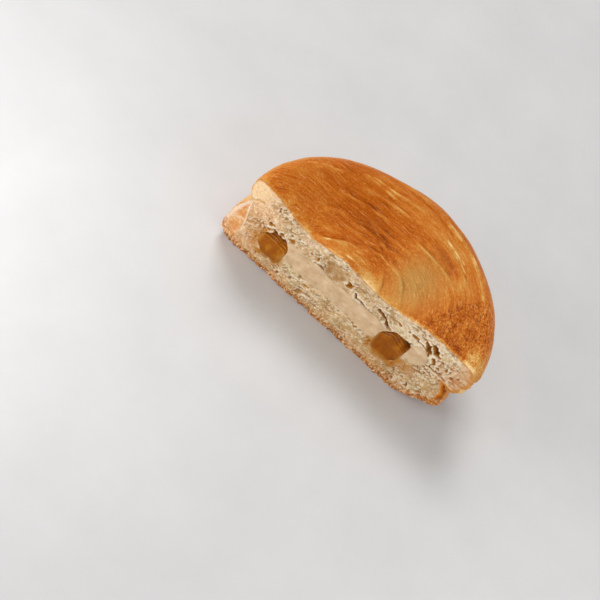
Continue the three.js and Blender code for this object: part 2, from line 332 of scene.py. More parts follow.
# %% Creases, ridges and blisters
CREASE_KEPT = 0.3
CREASE_SHARE = dict(usual=0.55, least=0.08, most=1.2)
CREASE_LUMPS = (0.75, 12.0, 13)
CREASE_START = (-0.5, -0.3)
CREASE_RUN_OUT = 2.0
CREST_STEEPNESS = 3
RIDGES = dict(height=0.2, width=1.2, length=13.0, seed=14)
WRINKLES = dict(height=0.1, width=0.7, length=7.0, seed=15)
RIDGE_SHARE = 0.4
RIDGE_LUMPS = (0.3, 9.0, 22)
BLISTERS = dict(height=0.16, width=1.1, length=1.1, seed=17)
BLISTER_LUMPS = (0.2, 2.4, 16)
SCORCH = dict(start=20.7, slope=0.52, softness=1.3, rear=31.0, rear_softness=6.0, smoothing=0.75)
SCORCH_LUMPS = (1.2, 3.5, 21)


def scorched(x, y):
    """1 on the dark blistered patch at the right end of the top, with a sharp edge on its left."""
    edge = uneven((x, y, 0.0), SCORCH["start"] + SCORCH["slope"] * y, SCORCH_LUMPS)
    inside = fade(0, SCORCH["softness"], x - edge)
    return inside * (1 - fade(SCORCH["rear"] - SCORCH["rear_softness"], SCORCH["rear"], y))


def crests(across, along, height, width, length, seed):
    """Broken ridges with sharp crests, as high, wide and long as given."""
    return height * (1 - CREST_STEEPNESS * np.abs(stretched_lumps(across, along, width, length, seed)))


def crease_depth(x, y):
    """Depth of the creases between the turns: sharp at the bottom and deep only in places."""
    distance = coil_place(x, y)[0]
    turns = (distance - CREASE["first"]) / CREASE["pitch"]
    away = np.abs(turns - np.round(turns)) * CREASE["pitch"] / CREASE["width"]
    here = fade(*CREASE_START, turns) * (1 - fade(CREASE["last"] - CREASE_RUN_OUT, CREASE["last"], distance))
    share = uneven((x, y, 0.0), CREASE_SHARE["usual"], CREASE_LUMPS)
    share = np.clip(share, CREASE_SHARE["least"], CREASE_SHARE["most"])
    return CREASE["depth"] * share * here * np.exp(-away) / (1 + CREASE["fade"] * np.maximum(turns, 0))


def coil_relief(x, y):
    """Height of creases, pleats, ridges and blisters on the top."""
    distance, along = coil_place(x, y)
    ridges = crests(distance, along, **RIDGES) + crests(distance, along, **WRINKLES)
    ridges = ridges * uneven((x, y, 0.0), RIDGE_SHARE, RIDGE_LUMPS)
    furrows, lips = pleats(x, y)
    dark = scorched(x, y)
    blisters = uneven((x, y, 0.0), crests(x, y, **BLISTERS), BLISTER_LUMPS)
    smooth = (ridges - CREASE_KEPT * crease_depth(x, y)) * (1 - SCORCH["smoothing"] * dark)
    return smooth + blisters * dark + lips - furrows


relief = coil_relief(*np.meshgrid(np.linspace(-45, 45, 200), np.linspace(0, 45, 100)))
print("relief of the top, mm: from", round(relief.min(), 2), "to", round(relief.max(), 2))

# %% Swelling, wrinkles and a tear on the sides
SIDE_LAYERS = [(0.3, 13.0, 18), (0.06, 1.3, 20)]
SIDE_WRINKLES = (0.16, 1.0, 19)
WRINKLE_LENGTH = 6.0
WRINKLES_PER_MM = 0.9
TEAR = dict(right=(44.0, 48.0), back=(2.0, 5.0), up=(SEAM["right"] - 2.0, SEAM["right"]))
TEAR_LAYERS = [(1.0, 2.2, 24), (0.6, 1.1, 25)]


def side_relief(x, y, z):
    """Gentle swelling of the sides, with wrinkles that run round the bread and a torn right end."""
    drawn_round = (x / WRINKLE_LENGTH, y / WRINKLE_LENGTH, z * WRINKLES_PER_MM)
    wrinkled = uneven(drawn_round, uneven((x, y, z), 0.0, *SIDE_LAYERS), SIDE_WRINKLES)
    at_tear = fade(*TEAR["right"], x) * (1 - fade(*TEAR["back"], y)) * fade(*TEAR["up"], z)
    return wrinkled + at_tear * uneven((x, y, z), 0.0, *TEAR_LAYERS)


print("relief at the tear, mm:", round(float(side_relief(50.0, 0.5, 30.0)), 2))

# %% [markdown]
# ## Meshes from arrays
# Blender can build a lathe shape with a modifier, but here the outline changes with the turn, so the points
# are laid out in numpy as rows and columns: rows go from the axis at the top, over the side, to the axis
# at the bottom. The columns reach a little past the cut at both ends, and the knife takes that away later.

# %% Closed shells about the axis
COLUMNS = 280
COLUMN_CROWDING = 0.35
PAST_CUT = 0.045
share_round = np.linspace(-PAST_CUT, 1 + PAST_CUT, COLUMNS)
TURNS = math.pi * (share_round - COLUMN_CROWDING * np.sin(2 * math.pi * share_round) / (2 * math.pi))


def mesh_object(name, points, faces, material=None):
    """An object from points in millimetres about the axis, set in the frame in metres."""
    mesh = bpy.data.meshes.new(name)
    mesh.from_pydata(((np.asarray(points) + AXIS) * MM).tolist(), [], faces)
    if material:
        mesh.materials.append(material)
    made = bpy.data.objects.new(name, mesh)
    bpy.context.collection.objects.link(made)
    return made


def shell_faces(rows, columns):
    """Faces of a closed shell: a pole, rows of points all round, and a pole."""
    grid = 1 + np.arange(rows * columns).reshape(rows, columns)
    beside = np.roll(grid, -1, axis=1)
    quads = np.stack([grid[:-1], grid[1:], beside[1:], beside[:-1]], -1).reshape(-1, 4)
    first = np.stack([np.zeros(columns, int), grid[0], beside[0]], -1)
    last = np.stack([np.full(columns, rows * columns + 1), beside[-1], grid[-1]], -1)
    return quads.tolist() + first.tolist() + last.tolist()


def closed_shell(name, points, top, bottom, material=None):
    """A closed shell from rows of points and the two poles that close it."""
    all_points = np.vstack([[top], points.reshape(-1, 3), [bottom]])
    return mesh_object(name, all_points, shell_faces(*points.shape[:2]), material)


def rounded_corner(steps, edge, reach, level, rise, roundness=2.0):
    """Rows of points round a corner, from a level face to a side."""
    angle = (math.pi / 2) * np.linspace(0, 1, steps + 1)[:, None]
    out = edge - reach + reach * np.sin(angle) ** (2 / roundness)
    up = level + rise * (1 - np.cos(angle) ** (2 / roundness))
    return np.broadcast_arrays(out, up)


spacing = UPPER["radius"] * float(np.diff(TURNS).mean())
print("columns round the half:", COLUMNS, "about", round(spacing, 2), "mm apart")

# %% [markdown]
# ## The upper and the lower lobe
# The upper lobe has the pressed top, a rounded rim and a side that tucks under to the seam. The lower lobe
# has a shoulder that rises into the seam, and a flat bottom with a wide rounded corner at the right. Each
# profile is a stack of rows, and the relief is added along the surface's own normal, so that it stands out
# sideways on the sides and upwards on the top.

# %% Profiles of the lobes
TOP_ROWS = 122
RIM_ROWS = 11
SIDE_ROWS = 9
UNDER_ROWS = 6
SHOULDER_ROWS = 12
CORNER_ROWS = 13
BOTTOM_ROWS = 3


def upper_rows(turn):
    """Reach and height of the upper lobe's rows, from the top to the underside."""
    edge = upper_edge(turn)
    rim = towards_back(turn, **RIM_ROUNDING)
    reach = (edge - rim) * np.linspace(0, 1, TOP_ROWS + 1)[1:-1, None]
    top = reach, top_height(reach * np.cos(turn), reach * np.sin(turn))
    rim_top = top_height((edge - rim) * np.cos(turn), (edge - rim) * np.sin(turn))
    rim_out, rim_up = rounded_corner(RIM_ROWS, edge, rim, rim_top, -rim)
    seam = seam_height(turn) - towards_back(turn, **SEAM_OVERLAP)
    under_height = towards_back(turn, **UNDERSIDE_HEIGHT)
    under_reach = towards_back(turn, **UNDERSIDE_REACH)
    share = np.linspace(0, 1, SIDE_ROWS + 1)[1:-1, None]
    side_up = (rim_top - rim) * (1 - share) + (seam + under_height) * share
    under_out, under_up = rounded_corner(UNDER_ROWS, edge, under_reach, seam, under_height)
    reaches = [top[0], rim_out, np.broadcast_to(edge, side_up.shape), under_out[::-1]]
    return np.vstack(reaches), np.vstack([top[1], rim_up, side_up, under_up[::-1]])


def lower_rows(turn):
    """Reach and height of the lower lobe's rows, from the shoulder to the bottom."""
    edge = lower_edge(turn)
    widest = along_rim(turn, **CORNER_HEIGHT)
    top = seam_height(turn) + towards_back(turn, **SEAM_OVERLAP)
    shoulder_reach = towards_back(turn, **SHOULDER_REACH)
    shoulder = rounded_corner(SHOULDER_ROWS, edge, shoulder_reach, top, widest - top)
    corner_reach = along_rim(turn, **CORNER_REACH)
    bottom = rounded_corner(CORNER_ROWS, edge, corner_reach, 0.0, widest, along_rim(turn, **CORNER_ROUNDNESS))
    flat = (edge - corner_reach) * np.linspace(1, 0, BOTTOM_ROWS + 1)[1:-1, None]
    reach = np.vstack([shoulder[0], bottom[0][::-1][1:], flat])
    height = np.vstack([shoulder[1], bottom[1][::-1][1:], np.zeros_like(flat)])
    return reach, height


print("rows of the lobes:", len(upper_rows(TURNS)[0]), "and", len(lower_rows(TURNS)[0]))

# %% Lobes with their relief
TOP_TILT = (0.55, 0.95)
CALM_ABOVE_BOTTOM = 3.0


def surface_normals(points):
    """Unit normals of a grid of points, out of the shell."""
    down = np.gradient(points, axis=0)
    beside = np.gradient(points, axis=1)
    normals = np.cross(down, beside)
    return normals / np.maximum(np.linalg.norm(normals, axis=-1, keepdims=True), 1e-9)


def lobe(name, rows, top_middle, bottom_middle, keeps_bottom):
    """A closed lobe whose points are moved along the normals by the relief of the crust."""
    reach, height = rows
    points = np.stack([reach * np.cos(TURNS), reach * np.sin(TURNS), height], -1)
    normals = surface_normals(points)
    x, y, z = np.moveaxis(points, -1, 0)
    upward = fade(*TOP_TILT, normals[..., 2])
    moved = coil_relief(x, y) * upward + side_relief(x, y, z) * (1 - upward)
    if keeps_bottom:
        moved = moved * fade(0.0, CALM_ABOVE_BOTTOM, z)
    points = points + normals * moved[..., None]
    return closed_shell(name, points, (0, 0, top_middle), (0, 0, bottom_middle))


overlap_back = SEAM_OVERLAP["at_back"]
crown = float(top_height(0.0, 0.0))
upper_lobe = lobe("upper lobe", upper_rows(TURNS), crown, SEAM_MIDDLE - overlap_back, False)
lower_lobe = lobe("lower lobe", lower_rows(TURNS), SEAM_MIDDLE + overlap_back, 0.0, True)
print("faces of the lobes:", len(upper_lobe.data.polygons), len(lower_lobe.data.polygons))

# %% [markdown]
# ## The face that the knife left
# The cut is where the bread is most alive: thin walls between bubbles, torn strands, a few large holes and
# dark crevices above the cream. A displaced plane would miss that the cut meets the crust in a clean edge,
# so the knife is a thick block whose rear face is a fine grid of depths, and the lobes are cut with it.
# First come the bubbles: random cells, each open to its own depth, with walls left standing between them.

# %% Bubbles of the crumb
GRID_STEP = 0.28
GRID_MARGIN = 5.0
BUBBLE_TABLE_SIDE = 64
grid_x = np.arange(-LOWER["left"] - GRID_MARGIN, LOWER["left"] + GRID_MARGIN, GRID_STEP)
grid_z = np.arange(-GRID_MARGIN, RIM_HEIGHT + GRID_MARGIN, GRID_STEP)
CUT_X, CUT_Z = np.meshgrid(grid_x, grid_z)
CUT = (CUT_X, CUT_Z, 0.0)
NEIGHBOURS = [(column, row) for column in (-1, 0, 1) for row in (-1, 0, 1)]


def bubbles(x, z, size, seed):
    """Cells about one size across: how far a place is from the wall, 0 to 1, and each cell's own draw."""
    draws = np.random.default_rng(seed).uniform(0, 1, (BUBBLE_TABLE_SIDE, BUBBLE_TABLE_SIDE, 3))
    u, v = x / size, z / size
    cell_u, cell_v = np.floor(u).astype(int), np.floor(v).astype(int)
    nearest = np.full(x.shape, np.inf)
    second = np.full(x.shape, np.inf)
    own = np.zeros(x.shape)
    for column, row in NEIGHBOURS:
        draw = draws[(cell_u + column) % BUBBLE_TABLE_SIDE, (cell_v + row) % BUBBLE_TABLE_SIDE]
        away = np.hypot(cell_u + column + draw[..., 0] - u, cell_v + row + draw[..., 1] - v)
        closer = away < nearest
        second = np.where(closer, nearest, np.minimum(second, away))
        own = np.where(closer, draw[..., 2], own)
        nearest = np.where(closer, away, nearest)
    return second - nearest, own


# Bubbles lie stretched along the flow of the dough, which waves through the face.
BUBBLE_SIZES = [
    dict(size=2.6, stretch=1.6, deepest=1.0, open_share=0.12, seed=32),
    dict(size=1.6, stretch=1.6, deepest=0.9, open_share=0.3, seed=33),
    dict(size=1.0, stretch=1.5, deepest=0.75, open_share=0.45, seed=34),
    dict(size=0.7, stretch=1.3, deepest=0.4, open_share=0.5, seed=35),
]
FLOW = (5.0, 17.0, 31)
FLOW_SHARE = 0.25
OPEN_PATCHES = dict(width=7.5, height=5.0, seed=39)
OPEN_LEAST = 0.45
OPEN_RISE = (-0.35, 0.45)
WARP = dict(height=0.4, size=0.8, seeds_on=40)
WALL_RISE = (0.05, 0.4)
flow = uneven(CUT, 0.0, FLOW)
opened = OPEN_LEAST + fade(*OPEN_RISE, stretched_lumps(CUT_X, CUT_Z, **OPEN_PATCHES))
crumb_depth = np.zeros(CUT_X.shape)
for kind in BUBBLE_SIZES:
    size, share = kind["size"], kind["open_share"]
    warp_layer = (WARP["height"] * size, WARP["size"] * size, kind["seed"] + WARP["seeds_on"])
    warp = uneven(CUT, 0.0, warp_layer)
    flowing_x = (CUT_X + warp) / kind["stretch"]
    wall, own = bubbles(flowing_x, CUT_Z + FLOW_SHARE * flow + warp, size, kind["seed"])
    depth = kind["deepest"] * np.clip((own - 1 + share) / share, 0, 1)
    crumb_depth = np.maximum(crumb_depth, opened * depth * fade(*WALL_RISE, wall))
print("bubbles cover", round(float((crumb_depth > 0.2).mean()), 2), "of the face")

# %% [markdown]
# Some places of the face are smooth: the wall of a large bubble in the middle, the left end where the knife
# pressed the dough shut, and the fold of skin at the lower left. Their bubbles are thinned out. Torn strands
# are added where the dough was pulled apart, at both ends, with curds at the right tip, and the dough at the
# lower right was rolled into a whorl, which shows as faint rings.

# %% Smooth places
SMOOTH_LENS = dict(middle=(-10.8, 29.0), half=(8.8, 4.4), lean=-38.0)
LENS_LUMPS = (0.6, 4.0, 44)
LENS_EDGE = (0.2, 1.2)
PRESSED_END = (-50.0, -40.0)
LAYER_LINE_X = (-47.6, -47.9, -48.8, -49.7, -50.1, -49.7)
LAYER_LINE_Z = (12.5, 15.2, 19.8, 24.5, 27.9, 31.4)
FOLD_EDGE = (0.0, 0.8)
FOLD_TOP = (30.0, 32.0)
SHUT = dict(lens=0.7, pressed=0.8, fold=0.9)

layer_x = np.interp(CUT_Z, LAYER_LINE_Z, LAYER_LINE_X)
lens = 1 - fade(*LENS_EDGE, oval(CUT_X, CUT_Z, **SMOOTH_LENS) * uneven(CUT, 1.0, LENS_LUMPS))
pressed = 1 - fade(*PRESSED_END, CUT_X)
outer_fold = fade(*FOLD_EDGE, layer_x - CUT_X) * (1 - fade(*FOLD_TOP, CUT_Z))
shut = np.clip(SHUT["lens"] * lens + SHUT["pressed"] * pressed + SHUT["fold"] * outer_fold, 0, 1)
print("smooth share of the face:", round(float((shut > 0.5).mean()), 2))

# %% Strands, curds and rings
TORN_RIGHT = dict(middle=(45.0, 30.0), half=(8.0, 7.0))
TORN_LEFT = dict(middle=(-43.5, 25.0), half=(4.5, 6.5))
STRAND = dict(width=0.6, height=3.8, seed=36)
STRAND_DEPTH = dict(right=0.8, left=0.55)
STRAND_BEND = 0.18
TIP = dict(middle=(48.0, 28.0), half=(4.5, 5.0))
CURDS = dict(height=0.4, width=1.4, length=1.4, seed=82)
WHORL = dict(middle=(38.5, 17.0), half=(9.0, 6.0))
RING = dict(pitch=1.7, height=0.06, bend=0.12)
PUCKER = dict(width=1.6, height=2.2, seed=76)
PUCKER_DEPTH = 0.5
FACE_LAYERS = [(0.1, 0.75, 37), (0.4, 5.0, 38)]
SHUT_CALM = 0.5
LENS_DEPTH = 0.4

torn = STRAND_DEPTH["right"] * spot(CUT_X, CUT_Z, **TORN_RIGHT)
torn = torn + STRAND_DEPTH["left"] * spot(CUT_X, CUT_Z, **TORN_LEFT)
strands = torn * stretched_lumps(CUT_X + STRAND_BEND * flow, CUT_Z, **STRAND)
curds = spot(CUT_X, CUT_Z, **TIP) * crests(CUT_X, CUT_Z, **CURDS)
out = np.hypot(CUT_X - WHORL["middle"][0], CUT_Z - WHORL["middle"][1]) + RING["bend"] * flow
rings = RING["height"] * spot(CUT_X, CUT_Z, **WHORL) * np.sin(2 * math.pi * out / RING["pitch"])
puckers = PUCKER_DEPTH * outer_fold * stretched_lumps(CUT_X, CUT_Z, **PUCKER)
fine = uneven(CUT, puckers, *FACE_LAYERS)
crumb_depth = crumb_depth * (1 - shut) + fine * (1 - SHUT_CALM * shut) + LENS_DEPTH * lens
crumb_depth = crumb_depth + strands + curds + rings
print("strands reach", round(float(np.abs(strands).max()), 2), "mm")

# %% [markdown]
# The large holes and the crevices sit where they do on the real cut, so each is placed one by one: a hole is
# an oval that may lean, and a crevice is a crooked line. They were closed bubbles with a skin of their own,
# so each is a smooth bowl with a thin pale rim. The deeper of two depths wins where they meet.
# The thin pale rim is partly a painted highlight along the edge of each opening.

# %% Holes and crevices
# Each hole is its middle, its half width and half height, its lean in degrees and its depth.
HOLES = [
    ((35.4, 34.6), (1.35, 4.0), -48.0, 2.25),
    ((32.9, 32.4), (1.25, 2.8), -42.0, 2.0),
    ((37.5, 29.2), (1.0, 1.9), -20.0, 1.6),
    ((26.5, 32.0), (1.6, 0.95), 15.0, 1.5),
    ((24.0, 32.2), (0.65, 0.6), 0.0, 1.0),
    ((19.6, 31.4), (1.3, 0.75), 20.0, 1.2),
    ((-3.3, 28.6), (1.5, 1.8), 10.0, 1.7),
    ((-29.5, 25.8), (1.5, 0.9), 10.0, 1.1),
    ((-21.4, 28.4), (1.2, 0.7), 25.0, 1.1),
    ((-18.2, 27.6), (0.9, 0.6), 40.0, 1.2),
    ((-39.6, 25.6), (0.9, 1.2), 30.0, 1.3),
    ((-39.6, 22.3), (1.1, 0.8), 30.0, 1.4),
    ((-36.6, 23.9), (1.3, 0.8), -15.0, 1.4),
    ((-34.2, 25.0), (0.9, 0.9), 0.0, 1.3),
    ((-26.8, 5.6), (0.6, 0.9), 20.0, 0.9),
    ((-15.7, 11.6), (1.3, 1.2), 0.0, 0.8),
    ((8.0, 12.9), (1.1, 0.7), 10.0, 0.9),
    ((39.0, 15.6), (0.7, 0.6), 0.0, 0.9),
    ((39.6, 11.7), (0.8, 0.5), 0.0, 0.8),
    ((43.3, 30.0), (0.7, 1.1), -20.0, 1.0),
    ((40.6, 27.6), (0.9, 0.6), 0.0, 1.0),
    ((40.1, 32.2), (0.6, 1.2), -35.0, 1.0),
    ((46.2, 28.9), (1.2, 0.8), 30.0, 1.2),
    ((44.2, 33.0), (1.3, 0.5), -30.0, 0.9),
    ((48.4, 27.4), (0.8, 0.7), 0.0, 1.0),
    ((48.2, 31.6), (0.6, 1.0), 20.0, 0.8),
    ((42.6, 26.4), (0.9, 0.5), 0.0, 1.0),
]
# Each crevice is the points of its line, its half width and its depth.
CREVICES = [
    ([(0.2, 27.4), (1.3, 25.7), (3.0, 26.2), (4.9, 25.6), (9.5, 24.2)], 0.5, 3.6),
    ([(10.8, 29.2), (14.9, 27.4), (16.5, 25.8), (18.6, 24.3)], 0.65, 3.6),
    ([(-18.2, 25.4), (-16.0, 26.0), (-14.6, 24.9), (-12.4, 24.5)], 0.45, 2.8),
    ([(28.3, 31.3), (30.3, 32.1), (31.8, 31.2)], 0.4, 1.76),
    ([(45.5, 25.6), (41.0, 25.3), (38.8, 25.0), (36.6, 24.2)], 0.45, 2.0),
]
HOLE = dict(mouth=1.15, rim=1.35, rim_half=0.25)
CREVICE = dict(mouth=1.2, rim=1.6, rim_half=0.4)
BOWL_ROUNDNESS = 0.8
RAGGED_LAYERS = [(0.4, 1.5, 41), (0.35, 0.7, 45)]


def opening(out, depth, mouth, rim, rim_half):
    """Depth of a bowl-shaped opening, and its rim from 0 to 1. out is 1 on its outline."""
    bowl = depth * np.clip(mouth - out ** 2, 0, 1) ** BOWL_ROUNDNESS
    return bowl, np.exp(-((out - rim) / rim_half) ** 2)


ragged = uneven(CUT, 1.0, *RAGGED_LAYERS)
openings = []
for middle, half, lean, depth in HOLES:
    openings.append(opening(oval(CUT_X, CUT_Z, middle, half, lean) * ragged, depth, **HOLE))
for points, half, depth in CREVICES:
    from_middle = np.abs(from_line(CUT_X, CUT_Z, points)[0])
    openings.append(opening(from_middle / half * ragged, depth, **CREVICE))
hole_depth, hole_rim = np.max(openings, axis=0)
print(len(HOLES), "holes and", len(CREVICES), "crevices, deepest", round(float(hole_depth.max()), 1), "mm")

# %% [markdown]
# Last come the knife's own slow wave, which is the same as in the construction model, the line between the
# two folds of dough at the left end, and the crumbly lower edge, where the baked bottom broke into crumbs.

# %% The knife's face
KNIFE = dict(wave=0.35, wavelength=17.0, start=0.5, slant=2.0, front=-14.0)
FOLD_LINE = dict(half=0.32, height=0.25)
CRUMBLY = dict(rise=(0.3, 4.6), depth=0.5, usual=0.35, proudest=-0.25)
CRUMBLY_LUMPS = (0.6, 2.5, 42)
BROKEN_BITS = dict(width=0.6, height=0.7, seed=43)
WALLS = dict(reach=3, height=0.25)


def knife_wave(x, z):
    """How far back the knife's path lies at a place on the cut, a sum of two slow waves."""
    along = x / KNIFE["wavelength"]
    slanted = along + KNIFE["slant"] * (z - RIM_HEIGHT / 2) / KNIFE["wavelength"]
    return KNIFE["wave"] * (np.sin(along + KNIFE["start"]) + np.sin(slanted))


from_fold = from_line(CUT_X, CUT_Z, list(zip(LAYER_LINE_X, LAYER_LINE_Z)))[0]
fold_line = np.exp(-(from_fold / FOLD_LINE["half"]) ** 2)
crumbly = 1 - fade(*CRUMBLY["rise"], uneven(CUT, CUT_Z, CRUMBLY_LUMPS))
broken_bits = CRUMBLY["usual"] + stretched_lumps(CUT_X, CUT_Z, **BROKEN_BITS)
broken_off = np.maximum(CRUMBLY["depth"] * crumbly * broken_bits, CRUMBLY["proudest"])
CAVITY = np.maximum(crumb_depth, hole_depth) + broken_off - FOLD_LINE["height"] * fold_line
cut_face = knife_wave(CUT_X, CUT_Z) + CAVITY


def blurred(values, reach):
    """Each value averaged with its neighbours, up to a reach in grid steps."""
    total = np.zeros(values.shape)
    for shift in np.ndindex(2 * reach + 1, 2 * reach + 1):
        total += np.roll(values, np.array(shift) - reach, (0, 1))
    return total / (2 * reach + 1) ** 2


# Walls that stand above their blurred surroundings, marked for a painted highlight in the crumb's colour.
PROUD = np.clip(blurred(CAVITY, WALLS["reach"]) - CAVITY, 0, None) / WALLS["height"]
print("walls that stand proud cover", round(float((PROUD > 0.5).mean()), 2), "of the face")

# %% Knife blocks
def block_faces(rows, columns):
    """Faces of a block: a grid, walls round it, and a fan that closes the far side."""
    grid = np.arange(rows * columns).reshape(rows, columns)
    quads = np.stack([grid[:-1, :-1], grid[1:, :-1], grid[1:, 1:], grid[:-1, 1:]], -1).reshape(-1, 4)
    border = np.concatenate([grid[0, :-1], grid[:-1, -1], grid[-1, :0:-1], grid[:0:-1, 0]])
    count = len(border)
    far = rows * columns + np.arange(count)
    walls = np.stack([border, np.roll(border, -1), np.roll(far, -1), far], -1)
    fan = np.stack([far, np.roll(far, -1), np.full(count, rows * columns + count)], -1)
    return quads.tolist() + walls.tolist() + fan.tolist(), border


def knife_block(name, x, z, face, material):
    """A thick block that cuts everything in front of the given face."""
    faces, border = block_faces(*x.shape)
    near = np.stack([x.ravel(), face.ravel(), z.ravel()], -1)
    far = near[border] * (1, 0, 1) + (0, KNIFE["front"], 0)
    return mesh_object(name, np.vstack([near, far, far.mean(0, keepdims=True)]), faces, material)


crumb_finish = bpy.data.materials.new("crumb")
knife = knife_block("knife", CUT_X, CUT_Z, cut_face, crumb_finish)
print("faces of the knife:", len(knife.data.polygons))

# %% [markdown]
# ## Filling
# The cream is a flat round cake inside the bread that rises at its right end, and each piece of fruit is a
# block with soft edges that went limp in the oven. The bread needs a bed of the same shape as each, a hair
# larger, so one function makes both. A subdivided cube would do for the fruit, but a formula for its soft
# edges keeps the same form as the construction model.

# %% Cream and its bed
CREAM = dict(x=2.2, radius=34.0, edge=4.5, bottom=14.7, thickness=10.2)
CREAM_LIFT = dict(height=5.0, start=25.0, end=31.0)
CREAM_WAVES = [
    dict(height=1.0, size=5.5, apart=9.0, seed=51),
    dict(height=0.5, size=2.2, apart=5.0, seed=52),
]
CREAM_ROWS = 40
CREAM_EDGE_ROWS = 12
# Cream is smoother than dough, so every fourth column will do.
CREAM_TURNS = TURNS[::4]
BED_GAP = 0.04


def cream_lift(x):
    """How far the cream rises towards its right end."""
    return CREAM_LIFT["height"] * fade(CREAM_LIFT["start"], CREAM_LIFT["end"], x)


def cream_shell(name, grow, material):
    """The layer of cream as a closed shell, grown by a gap where it is the bed."""
    radius = CREAM["radius"] + grow
    half = CREAM["thickness"] / 2 + grow
    centre = CREAM["bottom"] + CREAM["thickness"] / 2
    spokes = (radius - CREAM["edge"]) * np.linspace(0, 1, CREAM_ROWS + 1)[1:-1, None] + 0 * CREAM_TURNS
    over = rounded_corner(CREAM_EDGE_ROWS, radius + 0 * CREAM_TURNS, CREAM["edge"], half, -half)
    reach = np.vstack([spokes, over[0], over[0][::-1][1:], spokes[::-1]])
    height = np.vstack([half + 0 * spokes, over[1], -over[1][::-1][1:], -half + 0 * spokes])
    x = CREAM["x"] + reach * np.cos(CREAM_TURNS)
    y = reach * np.sin(CREAM_TURNS)
    z = centre + cream_lift(x) + height
    for wave in CREAM_WAVES:
        z = z + wave["height"] * lumps(x, y, np.sign(height) * wave["apart"], wave["size"], wave["seed"])
    poles = (CREAM["x"], 0, centre + half), (CREAM["x"], 0, centre - half)
    return closed_shell(name, np.stack([x, y, z], -1), *poles, material)


cream_finish = bpy.data.materials.new("cream")
cream_bed = cream_shell("cream bed", BED_GAP, crumb_finish)
cream_layer = cream_shell("cream layer", 0.0, cream_finish)
print("faces of the cream:", len(cream_layer.data.polygons))

# %% Fruit and its beds
# Each chamfer says which edge it is on, to the right and up or the other way, and how much it takes off.
FRUIT = dict(
    left=dict(x=-34.5, z=15.6, width=11.2, height=14.4, seed=58, steps=4,
              chamfers=[(-1, 1, 0.6), (-1, -1, 0.55), (1, 1, 0.4)]),
    right=dict(x=22.2, z=17.6, width=12.0, height=16.0, seed=59, steps=5,
               chamfers=[(-1, 1, 0.65), (1, -1, 0.35)]),
)
FRUIT_DEPTH = dict(middle=2.4, size=12.5)
FRUIT_SQUARENESS = 6.5
FRUIT_LIMPNESS = dict(height=0.8, size=0.7)
CHAMFER_SOFTNESS = 0.2
FRUIT_STEPS = 44
BED_ROOM_ABOVE = 1.0


def fruit_block(name, piece, grow, room_above, material):
    """A limp block with soft edges, from a sphere's grid squared up."""
    rows, columns = FRUIT_STEPS, 2 * FRUIT_STEPS
    tilt = np.linspace(0, math.pi, rows + 2)[1:-1, None]
    turn = np.linspace(0, 2 * math.pi, columns, endpoint=False)
    ring = np.sin(tilt)
    ball = np.stack(np.broadcast_arrays(ring * np.cos(turn), ring * np.sin(turn), np.cos(tilt)), -1)
    ball = np.vstack([[[0, 0, 1]], ball.reshape(-1, 3), [[0, 0, -1]]])
    block = ball / (np.abs(ball) ** FRUIT_SQUARENESS).sum(-1, keepdims=True) ** (1 / FRUIT_SQUARENESS)
    for to_right, to_top, depth in piece["chamfers"]:
        past = to_right * block[:, 0] + to_top * block[:, 2] - 2 + depth
        past = (past + np.hypot(past, CHAMFER_SOFTNESS)) / 4
        block = block - past[:, None] * (to_right, 0, to_top)
    half = np.array([piece["width"], FRUIT_DEPTH["size"], piece["height"]]) / 2 + grow
    limp = uneven(ball.T, 0.0, (FRUIT_LIMPNESS["height"], FRUIT_LIMPNESS["size"], piece["seed"]))
    points = block * (half + limp[:, None]) + (piece["x"], FRUIT_DEPTH["middle"], piece["z"])
    points[:, 2] += room_above * np.clip(block[:, 2], 0, 1)
    return mesh_object(name, points, shell_faces(rows, columns), material)


fruit_finish = bpy.data.materials.new("stewed fruit")
fruit_beds = []
fruit_blocks = {}
for side, piece in FRUIT.items():
    fruit_beds.append(fruit_block(f"bed {side}", piece, BED_GAP, BED_ROOM_ABOVE, crumb_finish))
    fruit_blocks[side] = fruit_block(f"block {side}", piece, 0.0, 0.0, fruit_finish)
print("pieces of fruit:", list(fruit_blocks))

# %% [markdown]
# ## Joining and cutting
# The Boolean modifier joins the lobes and takes away the knife and the beds. Its manifold solver is made
# for closed meshes as dense as these, and it hands over the material of whatever made the cut, so the
# crumb's finish arrives on the cut by itself. The result is copied out as a plain mesh, and the tools go.
# Where two surfaces nearly touch, the solver leaves points a hair apart, and points in the middle of an edge.
# Both would become flaps once the mesh is split into triangles, so the first are welded and the others go.

# %% Weld
WELD_REACH = 0.002
WELD_ROUNDS = 3


def welded(mesh):
    """Welds points that all but touch, takes out points within an edge and counts the edges left open."""
    skin = bmesh.new()
    skin.from_mesh(mesh)
    for _ in range(WELD_ROUNDS):
        bmesh.ops.remove_doubles(skin, verts=skin.verts[:], dist=WELD_REACH * MM)
        bmesh.ops.dissolve_degenerate(skin, edges=skin.edges[:], dist=WELD_REACH * MM)
        within_edges = [corner for corner in skin.verts if len(corner.link_edges) == 2]
        bmesh.ops.dissolve_verts(skin, verts=within_edges)
    open_edges = sum(not edge.is_manifold for edge in skin.edges)
    skin.to_mesh(mesh)
    skin.free()
    return open_edges


print("points closer than", WELD_REACH, "mm will be welded, in", WELD_ROUNDS, "rounds")

# %% Join and cut the bread
def boolean(body, name, steps):
    """A new object: body with each step's operation and tool applied in turn."""
    for operation, tool in steps:
        step = body.modifiers.new(tool.name, "BOOLEAN")
        step.operation = operation
        step.solver = "MANIFOLD"
        step.material_mode = "TRANSFER"
        step.object = tool
    evaluated = body.evaluated_get(bpy.context.evaluated_depsgraph_get())
    mesh = bpy.data.meshes.new_from_object(evaluated)
    mesh.name = name
    print(name, "has", welded(mesh), "open edges")
    made = bpy.data.objects.new(name, mesh)
    bpy.context.collection.objects.link(made)
    return made


